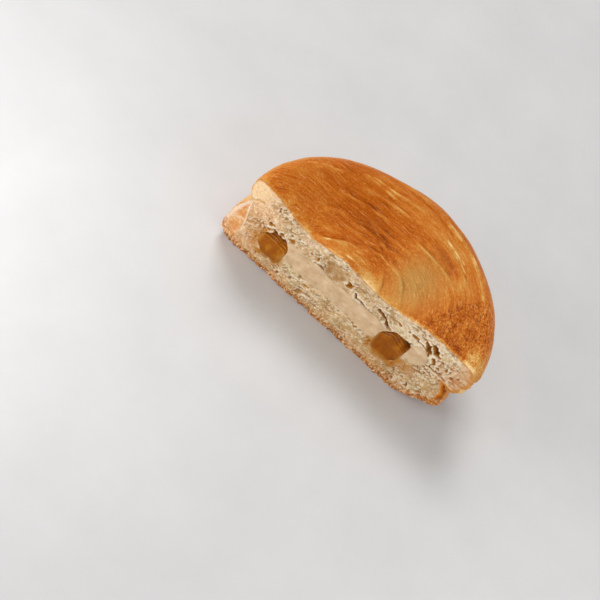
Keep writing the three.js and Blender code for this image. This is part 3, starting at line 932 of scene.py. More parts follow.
crust_finish = bpy.data.materials.new("crust")
for dough in (upper_lobe, lower_lobe):
    dough.data.materials.append(crust_finish)
hollows = [("DIFFERENCE", tool) for tool in (cream_bed, *fruit_beds, knife)]
bread = boolean(upper_lobe, "bread_half", [("UNION", lower_lobe), *hollows])
print("bread:", len(bread.data.polygons), "faces,", [slot.name for slot in bread.data.materials])

# %% [markdown]
# The cream was soft, so the knife smeared it nearly flat, with shallow drag marks and a few pits. The fruit
# was cut through too, but its upper edge had shrunk away from the dough: there the face falls back in steps
# and leaves a dark gap above. Each gets a knife of its own with a smoother face.

# %% Cut the filling
CREAM_GRID = dict(low=(-38.0, 10.0), high=(42.0, 36.0), step=0.4)
CREAM_SET_BACK = 0.03
SMEAR = dict(width=3.0, height=0.9, seed=53)
SMEAR_DEPTH = 0.16
ROLLS = (0.3, 4.5, 54)
PITS = dict(size=1.5, seed=55)
PITS_START = 0.55


def face_grid(low, high, step):
    """A grid over part of the cut, and the knife's wave there."""
    x, z = np.meshgrid(np.arange(low[0], high[0], step), np.arange(low[1], high[1], step))
    return x, z, knife_wave(x, z)


cream_x, cream_z, cream_face = face_grid(**CREAM_GRID)
marks = SMEAR_DEPTH * stretched_lumps(cream_x, cream_z, **SMEAR)
pits = np.clip(lumps(cream_x, cream_z, 0.0, **PITS) - PITS_START, 0, 1)
cream_face = uneven((cream_x, cream_z, 0.0), cream_face + CREAM_SET_BACK + marks + pits, ROLLS)
cream_knife = knife_block("cream knife", cream_x, cream_z, cream_face, cream_finish)
cream = boolean(cream_layer, "cream_layer", [("DIFFERENCE", tool) for tool in (*fruit_beds, cream_knife)])
print("cream:", len(cream.data.polygons), "faces")

# %% Cut the fruit
FRUIT_FALL = dict(start=5.4, past_top=0.6, depth=2.6, step_depth=0.3, bow=0.05, recess=0.1)
FIRST_STEP = (0.02, 0.2)
FALL_LUMPS = (0.8, 3.0, 60)
FRUIT_GRID = dict(beside=2.0, above=3.0, low=6.0, step=0.25)
FRUIT_LUMPS = (0.4, 4.0, 56)
FIBRES = dict(width=0.9, height=2.25, seed=57)
FIBRE_DEPTH = 0.1


def fallen_face(piece, x, z):
    """How far the fruit's face has fallen back, 0 to 1, and the ripples on the way."""
    top = piece["z"] + piece["height"] / 2
    bowed = uneven((x, z, 0.0), z + FRUIT_FALL["bow"] * (x - piece["x"]) ** 2, FALL_LUMPS)
    fall = fade(top - FRUIT_FALL["start"], top + FRUIT_FALL["past_top"], bowed)
    return fall, np.sin(2 * math.pi * piece["steps"] * fall) * fade(*FIRST_STEP, fall)


fruits = {}
for side, piece in FRUIT.items():
    reach = piece["width"] / 2 + FRUIT_GRID["beside"]
    top = piece["z"] + piece["height"] / 2 + FRUIT_GRID["above"]
    corners = (piece["x"] - reach, FRUIT_GRID["low"]), (piece["x"] + reach, top)
    fruit_x, fruit_z, face = face_grid(*corners, FRUIT_GRID["step"])
    fall, ripple = fallen_face(piece, fruit_x, fruit_z)
    face = face + FRUIT_FALL["recess"] + FRUIT_FALL["depth"] * fall + FRUIT_FALL["step_depth"] * ripple
    face = face + FIBRE_DEPTH * stretched_lumps(fruit_x, fruit_z, **FIBRES)
    face = uneven((fruit_x, fruit_z, 0.0), face, FRUIT_LUMPS)
    fruit_knife = knife_block(f"fruit knife {side}", fruit_x, fruit_z, face, fruit_finish)
    fruits[side] = boolean(fruit_blocks[side], f"fruit_{side}_piece", [("DIFFERENCE", fruit_knife)])
    print(side, "fruit:", len(fruits[side].data.polygons), "faces")

# %% Put the tools away
SHARP_ANGLE = math.radians(55)
pieces = [bread, cream, *fruits.values()]
kept = set(pieces) | set(frame["nodes"].values()) | set(frame["bodies"].values())
for spare in [item for item in bpy.context.scene.objects if item.type == "MESH" and item not in kept]:
    bpy.data.objects.remove(spare)
for piece in pieces:
    piece.data.shade_smooth()
    piece.data.set_sharp_from_angle(angle=SHARP_ANGLE)

# %% [markdown]
# ## Where the crust browned, with painted light and shade
# The oven browned the top in patches: deep at the left, golden in the middle, pale beside the dome at the
# cut, and dark at the right end. Furrows, creases and a trough are darkened as painted shade, the lips of the
# pleats and the ridge crests are lightened as painted highlights, and thin pale lines run where the skin was
# stretched, partly painted highlights along the lips. The sides are paler near the seam, with painted shade
# in the seam itself, and the bottom is evenly brown. Painting this by hand would tie it to one mesh, so it is
# a sum of soft spots and lines, worked out for each point of the mesh and stored as an attribute that the
# material reads.

# %% Patches of the top
TOP_BROWN = 0.68
# Each spot is how much browner it is, its middle, and its half width and half depth.
TOP_SPOTS = [
    (0.13, (-11.0, 22.0), (17.0, 9.0)),
    (-0.11, (-14.0, 5.0), (8.0, 5.0)),
    (-0.3, (-0.5, 2.5), (4.5, 4.0)),
    (-0.17, (1.0, 0.8), (3.0, 2.6)),
    (0.14, (-6.0, 1.2), (2.4, 1.8)),
    (-0.23, (13.0, 16.0), (8.5, 13.0)),
    (-0.2, (9.0, 1.0), (9.0, 4.0)),
    (-0.28, (-27.5, 0.3), (4.5, 1.8)),
    (-0.2, (19.0, 37.0), (9.5, 3.4)),
    (-0.17, (28.0, 26.0), (6.0, 6.0)),
    (-0.06, (-5.0, 40.0), (14.0, 4.0)),
]
STREAKS = dict(width=1.4, height=13.0, seed=61)
STREAK_SHADE = 0.05
SPOT_STREAKS = 0.35
TOP_LUMPS = (0.05, 8.0, 62)
BLOTCHES = [(0.05, 2.4, 63), (0.08, 1.1, 64)]
BLOTCH_SHADE = 0.05
# Shifts of the browning: ridge crests and lips get painted highlights, furrows and creases painted shade.
RIDGE_PAINTED_LIGHT = 0.15
FURROW_PAINTED_SHADE = 0.4
FURROW_SHARPNESS = 1.5
LIP_PAINTED_HIGHLIGHT = 0.45
CREASE_PAINTED_SHADE = 0.1


def patch_browning_and_shading(x, y):
    """Browning of the pressed top by patches, painted shade in creases and furrows, painted light on lips and
    crests.
    """
    distance, along = coil_place(x, y)
    streaks = stretched_lumps(distance, along, **STREAKS)
    brown = uneven((x, y, 0.0), TOP_BROWN + STREAK_SHADE * streaks, TOP_LUMPS)
    # Painted highlights on the ridge crests, painted shade between them.
    brown = brown - RIDGE_PAINTED_LIGHT * crests(distance, along, **RIDGES)
    for shift, middle, half in TOP_SPOTS:
        brown = brown + shift * spot(x, y, middle, half) * (1 + SPOT_STREAKS * streaks)
    furrows, lips = pleats(x, y)
    # Painted shade in the furrows and creases, painted highlights on the lips.
    brown = brown + FURROW_PAINTED_SHADE * furrows ** FURROW_SHARPNESS - LIP_PAINTED_HIGHLIGHT * lips
    brown = brown + CREASE_PAINTED_SHADE * crease_depth(x, y)
    return brown + scorched(x, y) * uneven((x, y, 0.0), BLOTCH_SHADE, *BLOTCHES)


print("browning in the middle of the top:", round(float(patch_browning_and_shading(0.0, 20.0)), 2))

# %% Lines and edges of the top, with painted shade and highlights
# The trough is darkened as painted shade in the step beside the pleat.
SHADED_TROUGH = dict(points=[(3.0, 34.2), (10.7, 32.8), (17.6, 30.6), (26.5, 26.4)], half=2.2, shift=0.11, ends=0.2)
# Thin pale lines along the lips of the pleats, partly pale skin and partly painted highlights.
PALE_AND_LIT_LINES = [
    [(11.5, 38.2), (16.0, 36.7), (21.0, 35.3), (26.0, 33.8)],
    [(14.0, 36.0), (18.5, 34.8), (23.0, 33.0), (27.0, 30.8)],
    [(-47.1, 18.0), (-42.6, 23.2), (-38.4, 26.3), (-34.0, 28.6)],
    [(-27.7, 35.4), (-22.0, 36.0), (-16.3, 36.4), (-11.0, 36.7)],
    [(-24.7, 36.8), (-20.0, 37.7), (-16.0, 38.3), (-11.0, 38.7)],
    [(-24.3, 0.8), (-18.6, 5.6), (-13.5, 7.9), (-6.6, 10.0)],
    [(-17.7, 3.2), (-13.2, 5.4), (-8.3, 6.9), (-3.5, 6.8)],
    [(-12.5, 2.9), (-9.4, 3.8), (-6.7, 4.1), (-3.6, 3.4)],
    [(-7.3, 16.3), (-1.3, 15.2), (3.8, 14.4), (8.7, 13.4)],
]
PALE_AND_LIT_LINE = dict(half=0.33, shift=0.34, ends=0.15)
# The rim line is partly a pale edge and partly a painted highlight along the lip near the back.
RIM_HIGHLIGHT_LINE = dict(
    points=[(2.8, 44.2), (14.1, 43.1), (24.5, 39.1), (33.5, 31.6), (40.0, 22.5)],
    half=0.5, shift=0.32, ends=0.15,
)
LINE_SHARE = dict(usual=0.7, most=1.2)
LINE_LUMPS = (0.9, 1.6, 79)
TAN_END = dict(shift=0.28, out=(43.5, 48.0), back=(3.0, 13.0), right=(0.0, 20.0))
TAN_LAYERS = [(2.0, 1.5, 81), (2.0, 4.0, 83)]
CUT_EDGE = dict(width=0.9, shift=0.12, more_shift=0.2, change=(-25.0, -5.0), fade_out=(0.2, 1.0))
CUT_EDGE_LUMPS = (0.7, 3.0, 65)


def soft_line(x, y, points, half, shift, ends):
    """A soft line along a curve, thinning out over a share of it at each end."""
    away, along = from_line(x, y, curve_through(points))
    return tapered(shift, along, ends) * np.exp(-(away / half) ** 2)


def pale_edges(x, y):
    """How much paler the top is at its tan right end and along the cut."""
    out = uneven((x, y, 0.0), np.hypot(x, y), *TAN_LAYERS)
    at_end = fade(*TAN_END["out"], out) * (1 - fade(*TAN_END["back"], y)) * fade(*TAN_END["right"], x)
    rightwards = fade(*CUT_EDGE["change"], x)
    from_cut = uneven((x, y, 0.0), y, CUT_EDGE_LUMPS) / (CUT_EDGE["width"] * (1 + rightwards))
    along_cut = CUT_EDGE["shift"] + CUT_EDGE["more_shift"] * rightwards
    return TAN_END["shift"] * at_end + along_cut * (1 - fade(*CUT_EDGE["fade_out"], from_cut))


def top_browning_and_shading(x, y):
    """Browning of the pressed top, with painted shade in its trough, pale lines partly painted highlights,
    and its edges.
    """
    brown = patch_browning_and_shading(x, y) + soft_line(x, y, **SHADED_TROUGH) - pale_edges(x, y)
    broken = np.clip(uneven((x, y, 0.0), LINE_SHARE["usual"], LINE_LUMPS), 0, LINE_SHARE["most"])
    for points in PALE_AND_LIT_LINES:
        brown = brown - broken * soft_line(x, y, points, **PALE_AND_LIT_LINE)
    return brown - broken * soft_line(x, y, **RIM_HIGHLIGHT_LINE)


print("browning beside the dome:", round(float(top_browning_and_shading(np.array(-0.5), np.array(2.5))), 2))

# %% Browning of each point, with painted shade and highlights
MOTTLE = [(1.0, 9.0, 66), (0.5, 3.5, 67)]
OVER_RIM = (0.35, 1.0)
UPPER_SIDE = dict(brown=0.5, paler=0.32, down=(0.1, 0.7), mottle=0.06, below_rim=3.0)
LOWER_SIDE = dict(brown=0.68, paler=0.3, up=(0.05, 0.5), mottle=0.1)
SHOULDER = dict(paler=0.06, up=(0.6, 0.95))
DARK_END = dict(shift=0.2, right=(40.0, 48.0), back=(-2.0, 14.0), waver=4.0)
# Painted shade in the seam between the two lobes.
SEAM_PAINTED_SHADE = dict(shift=0.2, half=1.6, usual=0.6)
SEAM_LUMPS = (1.0, 6.0, 69)
SEAM_BLEND = (-0.6, 0.6)


def upper_browning_and_shading(x, y, z, seam, mottle):
    """Browning of the upper lobe, over its rim and down its side, with the top's painted shade and
    highlights.
    """
    turn = np.arctan2(y, x)
    rim = towards_back(turn, **RIM_ROUNDING)
    over_rim = fade(*OVER_RIM, (np.hypot(x, y) - upper_edge(turn) + rim) / rim)
    side_top = RIM_HEIGHT - UPPER_SIDE["below_rim"]
    down = np.clip((side_top - z) / (side_top - seam), 0, 1)
    side = UPPER_SIDE["brown"] - UPPER_SIDE["paler"] * fade(*UPPER_SIDE["down"], down)
    return top_browning_and_shading(x, y) * (1 - over_rim) + (side + UPPER_SIDE["mottle"] * mottle) * over_rim


def lower_browning(x, y, z, seam, mottle):
    """Browning of the lower lobe, from its bottom up to its shoulder."""
    up = np.clip(z / seam, 0, 1)
    brown = LOWER_SIDE["brown"] - LOWER_SIDE["paler"] * fade(*LOWER_SIDE["up"], up)
    brown = brown + LOWER_SIDE["mottle"] * mottle - SHOULDER["paler"] * fade(*SHOULDER["up"], up)
    at_end = fade(*DARK_END["right"], x) * (1 - fade(*DARK_END["back"], y + DARK_END["waver"] * mottle))
    return brown + DARK_END["shift"] * at_end


def browning_and_shading_of(x, y, z):
    """How brown the crust is, 0 pale dough to 1 dark, with painted shade and highlights on top and in the
    seam.
    """
    seam = seam_height(np.arctan2(y, x))
    mottle = uneven((x, y, z), 0.0, *MOTTLE)
    # Painted shade along the seam.
    painted_seam_shade = SEAM_PAINTED_SHADE["shift"] * np.exp(-((z - seam) / SEAM_PAINTED_SHADE["half"]) ** 2)
    in_upper = fade(*SEAM_BLEND, z - seam)
    brown = upper_browning_and_shading(x, y, z, seam, mottle) * in_upper
    brown = brown + lower_browning(x, y, z, seam, mottle) * (1 - in_upper)
    return np.clip(brown + painted_seam_shade * uneven((x, y, z), SEAM_PAINTED_SHADE["usual"], SEAM_LUMPS), 0, 1)


print("browning of the bottom:", round(float(browning_and_shading_of(0.0, 20.0, 0.0)), 2))

# %% Numbers stored for the crust
GOLDEN = dict(middle=(14.0, 15.0), half=(9.0, 13.0))
TOP_STARTS = (RIM_HEIGHT - 9.0, RIM_HEIGHT - 6.5)
SCORCH_STARTS = (RIM_HEIGHT - 6.5, RIM_HEIGHT - 2.5)


def points_of(mesh):
    """The mesh's points in millimetres about the axis."""
    flat = np.empty(len(mesh.vertices) * 3)
    mesh.vertices.foreach_get("co", flat)
    return np.moveaxis(flat.reshape(-1, 3) / MM - AXIS, -1, 0)


def store(mesh, name, values):
    """Keeps one number for each point of the mesh, for a material to read."""
    mesh.attributes.new(name, "FLOAT", "POINT").data.foreach_set("value", values.astype(np.float32))


bread_x, bread_y, bread_z = points_of(bread.data)
distance, along = coil_place(bread_x, bread_y)
dark = scorched(bread_x, bread_y)
browning_and_shading = browning_and_shading_of(bread_x, bread_y, bread_z)
crust_numbers = dict(browning_and_shading=browning_and_shading, coil_distance=distance, coil_along=along)
crust_numbers["on_top"] = fade(*TOP_STARTS, bread_z)
crust_numbers["golden"] = spot(bread_x, bread_y, **GOLDEN) * (1 - dark)
crust_numbers["scorched"] = dark * fade(*SCORCH_STARTS, bread_z)
for name, values in crust_numbers.items():
    store(bread.data, name, values)
print("browning from", round(browning_and_shading.min(), 2), "to", round(browning_and_shading.max(), 2))

# %% [markdown]
# ## What colours the crumb
# The crumb is palest in the middle and browns within a millimetre of the crust. Juice from the fruit has
# soaked into the dough beside it, and the large holes have a golden skin that darkens with depth as painted
# shade. Each of these is a number for each point as well: distance to the outline, juice, and how deep the
# point lies in a hole.

# %% Distance from the outline
OUTLINE_STEPS = 1200
FLAT_BOTTOM = (-45.0, 32.0)
INSIDE = dict(across=40.0, low=3.0, high=33.0)
NEAR_CUT = 8.0
FAR = 9.0


def is_inside_dough(x, z):
    """True for the parts of each lobe's profile that lie inside the other lobe."""
    return abs(x) < INSIDE["across"] and INSIDE["low"] < z < INSIDE["high"]


def cut_outline():
    """Points along the outline of the cut, from the profiles at its two ends."""
    outline = [(x, 0.0) for x in np.linspace(*FLAT_BOTTOM, OUTLINE_STEPS)]
    for turn in (0.0, math.pi):
        for reach, height in (upper_rows(np.array([turn])), lower_rows(np.array([turn]))):
            rows = np.arange(len(reach))
            places = np.linspace(0, len(reach) - 1, OUTLINE_STEPS)
            across = math.cos(turn) * np.interp(places, rows, reach[:, 0])
            outline += zip(across, np.interp(places, rows, height[:, 0]))
    return [(x, z) for x, z in outline if not is_inside_dough(x, z)]


def bottom_of_cut(x):
    """Height of the bread's lower outline along the cut."""
    reach, height = lower_rows(np.array([0.0, math.pi]))
    below = height[:, 0] < CORNER_HEIGHT["right"]
    right = np.interp(x, reach[below, 0][::-1], height[below, 0][::-1])
    below = height[:, 1] < CORNER_HEIGHT["left"]
    left = np.interp(-x, reach[below, 1][::-1], height[below, 1][::-1])
    return np.where(x > 0, right, left)


outline = cut_outline()
tree = KDTree(len(outline))
for index, (x, z) in enumerate(outline):
    tree.insert((x, z, 0), index)
tree.balance()
near_cut = np.flatnonzero(bread_y < NEAR_CUT)
rim_distance = np.full(bread_x.shape, FAR)
for index in near_cut:
    rim_distance[index] = tree.find((bread_x[index], bread_z[index], 0))[2]
print("points near the cut:", len(near_cut), "nearest to the outline, mm:", round(rim_distance.min(), 2))

# %% Juice
JUICE = dict(reach=1.9, share=0.7, fade_out=(19.0, 23.0))
JUICE_LUMPS = (0.6, 2.5, 70)
# Each flow is its strength, its middle, and its half width and half height.
JUICE_FLOWS = [
    (0.8, (-41.3, 12.5), (2.4, 6.5)),
    (0.75, (31.8, 14.3), (4.0, 4.0)),
    (0.4, (18.0, 10.0), (4.0, 2.2)),
]
BREAD = (bread_x, bread_y, bread_z)


def out_of_fruit(piece, x, z):
    """How far a place on the cut is from the middle of a piece of fruit, 1 on its outline."""
    across = 2 * np.abs(x - piece["x"]) / piece["width"]
    up = 2 * np.abs(z - piece["z"]) / piece["height"]
    return (across ** FRUIT_SQUARENESS + up ** FRUIT_SQUARENESS) ** (1 / FRUIT_SQUARENESS)


juice = np.zeros(bread_x.shape)
takes_up = uneven(BREAD, JUICE["share"], JUICE_LUMPS) * (1 - fade(*JUICE["fade_out"], bread_z))
for piece in FRUIT.values():
    outside = np.maximum(out_of_fruit(piece, bread_x, bread_z) - 1, 0) * piece["width"] / 2
    juice = np.maximum(juice, np.exp(-(outside / JUICE["reach"]) ** 2) * takes_up)
for share, middle, half in JUICE_FLOWS:
    juice = np.maximum(juice, share * spot(bread_x, bread_z, middle, half))
print("points soaked by juice:", int((juice > 0.5).sum()))

# %% Places with a tone of their own
# Each patchy tone is its usual share, then the layers of lumps on it.
PATCHY = dict(
    toasted=(0.75, (0.6, 1.3, 68)),
    smeared=(0.7, (0.8, 2.2, 72)),
    pale_strip=(0.75, (0.7, 3.0, 73), (0.4, 1.1, 74)),
    skin=(0.0, (0.9, 2.2, 75)),
    lens=(0.7, (0.6, 2.2, 78)),
    pale_and_lit_right=(0.75, (0.6, 3.2, 80)),
)
TOASTED = dict(right=(43.0, 50.0), up=(23.0, 26.0))
PALE_STRIP = dict(below_rim=(1.6, 4.8), up=(31.0, 34.0))
END_SKIN = dict(right=(41.0, 47.0), up=(23.5, 25.0), depth=(1.2, 3.4), dark_depth=(0.2, 2.0), dark_waver=1.5)
WARM_END = (-45.0, -33.0)
# A pale patch at the right of the cut, partly painted light where the face lies far from the lamps.
PALE_RIGHT = dict(middle=(34.0, 31.0), half=(18.0, 6.5))
SMEARED = dict(half=1.6, inside=2.0, outside=1.0)
patchy = {name: uneven(BREAD, *layers) for name, layers in PATCHY.items()}
toasted = fade(*TOASTED["right"], bread_x) * fade(*TOASTED["up"], bread_z)
pale_strip = (1 - fade(*PALE_STRIP["below_rim"], rim_distance)) * fade(*PALE_STRIP["up"], bread_z)
at_end = fade(*END_SKIN["right"], bread_x) * (1 - fade(*END_SKIN["up"], bread_z))
dark_distance = rim_distance + END_SKIN["dark_waver"] * patchy["skin"]
below_cream = (bread_z - CREAM["bottom"] - cream_lift(bread_x)) / SMEARED["half"]
cream_end = CREAM["radius"] - SMEARED["inside"], CREAM["radius"] + SMEARED["outside"]
beside_cream = 1 - fade(*cream_end, np.abs(bread_x - CREAM["x"]))
crumb_numbers = dict(
    height_mm=bread_z,
    from_bottom=bread_z - bottom_of_cut(bread_x),
    rim_distance=rim_distance,
    juice=juice,
    toasted=toasted * patchy["toasted"],
    pale_strip=pale_strip * patchy["pale_strip"],
    pale_and_lit_right=spot(bread_x, bread_z, **PALE_RIGHT) * patchy["pale_and_lit_right"],
    warm_end=1 - fade(*WARM_END, bread_x),
    end_skin=(1 - fade(*END_SKIN["depth"], rim_distance + patchy["skin"])) * at_end,
    end_dark=(1 - fade(*END_SKIN["dark_depth"], dark_distance)) * at_end,
    smeared=np.exp(-below_cream ** 2) * beside_cream * patchy["smeared"],
)
print("tones placed by hand:", sorted(crumb_numbers))

# %% Tones from the cut's grid
CAVITY_UNIT = 2.0
STRAND_UNIT = 0.25
PRESSED_TOP = (26.0, 33.0)
# Width of the painted highlight along the rim of the fold, in mm from the outline.
FOLD_RIM = (0.8, 2.6)
FINE_PUCKERS = (0.8, 0.8, 77)


def grid_cell(x, z):
    """Row and column of the cut's grid at a place."""
    column = np.clip(np.round((x - grid_x[0]) / GRID_STEP).astype(int), 0, len(grid_x) - 1)
    row = np.clip(np.round((z - grid_z[0]) / GRID_STEP).astype(int), 0, len(grid_z) - 1)
    return row, column


cell = grid_cell(bread_x, bread_z)
folded = outer_fold[cell]
puckered = lumps(bread_x / PUCKER["width"], bread_y, bread_z / PUCKER["height"], 1.0, PUCKER["seed"])
puckered = folded * uneven(BREAD, puckered, FINE_PUCKERS)
crumb_numbers |= dict(
    painted_cavity_shade=CAVITY[cell] / CAVITY_UNIT,
    hole_skin_and_shade=hole_depth[cell] / CAVITY_UNIT,
    hole_rim=hole_rim[cell],
    proud=PROUD[cell],
    strands=np.abs(strands[cell]) / STRAND_UNIT,
    smooth_lens=lens[cell] * patchy["lens"],
    pressed=pressed[cell] * fade(*PRESSED_TOP, bread_z),
    fold_skin=folded,
    fold_line=fold_line[cell],
    fold_pale=puckered,
    fold_deep=-puckered,
    painted_fold_rim_light=folded * (1 - fade(*FOLD_RIM, rim_distance)),
)
for name, values in crumb_numbers.items():
    store(bread.data, name, np.clip(values, 0, None))
print("stored for the crumb:", len(crumb_numbers), "numbers")

# %% [markdown]
# ## Finishes
# A finish here is a Principled shader fed by noise and by the numbers stored on the mesh. A few short
# helpers keep the node trees readable: one adds a node and links its inputs, one reads a stored number, and
# one lays a tone over a colour where a number is high. Colours are given as the eye names them, 0 to 255,
# and turned into linear light.

# %% Node helpers
def light(red, green, blue):
    """A colour as seen on a screen, 0 to 255, in linear light."""
    parts = [channel / 255 for channel in (red, green, blue)]
    return [part / 12.92 if part < 0.04 else ((part + 0.055) / 1.055) ** 2.4 for part in parts] + [1.0]


# The mix node keeps numbers, vectors and colours in one list, and these are the colours' places in it.
COLOUR_A = 6
COLOUR_B = 7
COLOUR_RESULT = 2


class Finish:
    """A material's node tree with plain verbs for building it."""

    def __init__(self, material):
        material.use_nodes = True
        self.tree = material.node_tree
        self.surface = self.tree.nodes["Principled BSDF"]

    def add(self, kind, inputs=None, **settings):
        node = self.tree.nodes.new(kind)
        for key, value in settings.items():
            setattr(node, key, value)
        for key, value in (inputs or {}).items():
            self.put(node.inputs[key], value)
        return node

    def put(self, socket, value):
        if isinstance(value, bpy.types.NodeSocket):
            self.tree.links.new(value, socket)
        else:
            socket.default_value = value

    def stored(self, name):
        return self.add("ShaderNodeAttribute", attribute_name=name).outputs["Fac"]

    def combine(self, operation, first, second, clamp=False):
        node = self.add("ShaderNodeMath", {0: first, 1: second}, operation=operation, use_clamp=clamp)
        return node.outputs["Value"]

    def plus(self, first, second):
        return self.combine("ADD", first, second)

    def times(self, first, second):
        return self.combine("MULTIPLY", first, second)

    def place(self):
        return self.add("ShaderNodeTexCoord").outputs["Object"]

    def stretched_up(self, share):
        """A place to read noise at, so that it comes out taller than wide."""
        inputs = {"Vector": self.place(), "Scale": (1.0, 1.0, share)}
        return self.add("ShaderNodeMapping", inputs).outputs["Vector"]

    def noise(self, scale, detail=4.0, roughness=0.6, place=None, draw=0.0):
        """Noise from 0 to 1. A higher scale is finer, and each draw is a pattern of its own."""
        inputs = {"Scale": scale, "Detail": detail, "Roughness": roughness, "W": draw}
        inputs["Vector"] = place or self.place()
        return self.add("ShaderNodeTexNoise", inputs, noise_dimensions="4D").outputs["Fac"]

    def remap(self, value, low, high, to_low=0.0, to_high=1.0):
        """A value that ran from low to high, made to run from to_low to to_high and no further."""
        inputs = {"Value": value, "From Min": low, "From Max": high, "To Min": to_low, "To Max": to_high}
        return self.add("ShaderNodeMapRange", inputs).outputs["Result"]

    def ramp(self, value, stops):
        """A colour picked by a value, from stops that are each a place and a colour."""
        node = self.add("ShaderNodeValToRGB", {"Fac": value})
        elements = node.color_ramp.elements
        while len(elements) < len(stops):
            elements.new(0.5)
        for element, (place, colour) in zip(elements, stops):
            element.position = place
            element.color = light(*colour)
        return node.outputs["Color"]

    def mix(self, share, first, second, blend="MIX"):
        node = self.add("ShaderNodeMix", data_type="RGBA", blend_type=blend)
        self.put(node.inputs["Factor"], share)
        self.put(node.inputs[COLOUR_A], first)
        self.put(node.inputs[COLOUR_B], second)
        return node.outputs[COLOUR_RESULT]

    def tint(self, colour, number, low, high, most, tone):
        """Lays a tone over a colour, from none of it where a number is low to the most where it is high."""
        if isinstance(number, str):
            number = self.stored(number)
        return self.mix(self.remap(number, low, high, 0.0, most), colour, light(*tone))

    def bump(self, height, strength, distance):
        """Fine relief by the shader alone, at most a distance in millimetres high."""
        inputs = {"Height": height, "Strength": strength, "Distance": distance * MM}
        self.put(self.surface.inputs["Normal"], self.add("ShaderNodeBump", inputs).outputs["Normal"])

    def set(self, **values):
        """Sets inputs of the surface by their names, with _ for each blank."""
        for key, value in values.items():
            self.put(self.surface.inputs[key.replace("_", " ")], value)


print("a mid crust brown in linear light:", [round(part, 3) for part in light(180, 100, 35)])

# %% [markdown]
# The crust was brushed with egg before baking, so it has a satin sheen over a colour that runs from pale
# dough through gold and orange-brown to dark brown. The stored browning, with its painted shade and
# highlights, picks the place on that ramp, and fine streaks along the coil and small specks shift it a
# little.
# A golden patch has streaks of its own, thin bright gleams and short glints along the coil are painted
# highlights in the colour, and the same streaks roughen the sheen.

# %% Noises of the crust
STROKE = dict(across=1.9, along=0.24)
GLINT_GRAIN = dict(across=2.6, along=0.45)
crust = Finish(crust_finish)


def along_coil(across, along):
    """A place to read noise at, so that it runs along the turns of the coil."""
    parts = {"X": crust.times(crust.stored("coil_distance"), across)}
    parts["Y"] = crust.times(crust.stored("coil_along"), along)
    return crust.add("ShaderNodeCombineXYZ", parts).outputs["Vector"]


stroke_place = along_coil(**STROKE)
strokes = crust.noise(1.0, 3.0, 0.6, stroke_place)
gleams = crust.noise(1.3, 2.0, 0.5, stroke_place, draw=3.0)
dashes = crust.noise(1.1, 2.0, 0.5, stroke_place, draw=7.0)
glint_grains = crust.noise(1.0, 1.0, 0.5, along_coil(**GLINT_GRAIN), draw=5.0)
specks = crust.noise(1400.0, 2.0, 0.6)
patches = crust.noise(170.0, 4.0, 0.55)
print("noises of the crust:", len(crust.tree.nodes), "nodes")

# %% Crust finish
CRUST_STOPS = [
    (0.0, (242, 208, 152)),
    (0.25, (220, 174, 104)),
    (0.45, (200, 142, 68)),
    (0.58, (194, 116, 40)),
    (0.75, (176, 86, 14)),
    (1.0, (114, 48, 4)),
]
GOLDEN_STOPS = [(0.36, (138, 97, 42)), (0.5, (162, 118, 58)), (0.64, (188, 141, 78))]
# Colour of the painted highlights: gleams and glints along the coil.
PAINTED_GLEAM = light(238, 180, 112)
SHEEN = light(255, 200, 130)
on_top = crust.stored("on_top")
streaked = crust.times(crust.remap(strokes, 0.3, 0.7, -0.08, 0.08), on_top)
patched = crust.plus(streaked, crust.remap(patches, 0.3, 0.7, -0.04, 0.04))
more_specks = crust.remap(crust.stored("scorched"), 0.0, 1.0, 0.0, 0.7)
speckling = crust.plus(crust.remap(on_top, 0.0, 1.0, 0.25, 0.5), more_specks)
speckled = crust.plus(patched, crust.times(crust.remap(specks, 0.3, 0.7, -0.2, 0.2), speckling))
dashed = crust.plus(speckled, crust.times(crust.remap(dashes, 0.6, 0.72, 0.0, 0.2), on_top))
brown = crust.plus(crust.stored("browning_and_shading"), dashed)
golden_share = crust.remap(crust.stored("golden"), 0.1, 0.9, 0.0, 0.7)
baked = crust.mix(golden_share, crust.ramp(brown, CRUST_STOPS), crust.ramp(strokes, GOLDEN_STOPS))
# Painted highlights: thin gleams and short glints along the coil lighten the colour.
painted_glints = crust.plus(crust.remap(gleams, 0.6, 0.74, 0.0, 0.4), crust.remap(glint_grains, 0.61, 0.71, 0.0, 0.4))
crust.set(Base_Color=crust.mix(crust.times(painted_glints, on_top), baked, PAINTED_GLEAM))
crust.set(Roughness=crust.remap(strokes, 0.3, 0.7, 0.36, 0.5), Specular_IOR_Level=0.2, Specular_Tint=SHEEN)
crust.set(Subsurface_Weight=0.08, Subsurface_Radius=(1.0, 0.4, 0.15), Subsurface_Scale=0.002)
skin = crust.times(crust.plus(strokes, crust.times(gleams, 0.5)), on_top)
crust.bump(crust.plus(skin, crust.times(specks, 0.4)), strength=0.7, distance=0.3)
print("crust finish:", len(crust.tree.nodes), "nodes")

# %% [markdown]
# The crumb is soft and lets light in, so it scatters under its surface. It is pale cream, greyer and warmer
# in soft patches, with white and brown flakes and a fine dust over them. It is brown along the crust, amber
# where juice soaked in, and golden in the bowls of the large holes, going brown with depth as painted shade.
# Pits get painted shade; walls that stand proud and the fold's rim get painted highlights, and the rims of
# holes, a pale patch at the right and the pressed left end are partly painted light.

# %% Noises of the crumb
crumb = Finish(crumb_finish)
soft = crumb.noise(270.0, 3.0, 0.6)
patches = crumb.noise(150.0, 2.0, 0.5)
blush = crumb.noise(205.0, 2.0, 0.5)
grain = crumb.noise(1150.0, 2.0, 0.6)
flecks = crumb.noise(1400.0, 2.0, 0.6, draw=4.0)
dust = crumb.noise(2000.0, 1.0, 0.5, draw=9.0)
flakes = crumb.noise(540.0, 3.0, 0.65, draw=11.0)
print("noises of the crumb:", len(crumb.tree.nodes), "nodes")

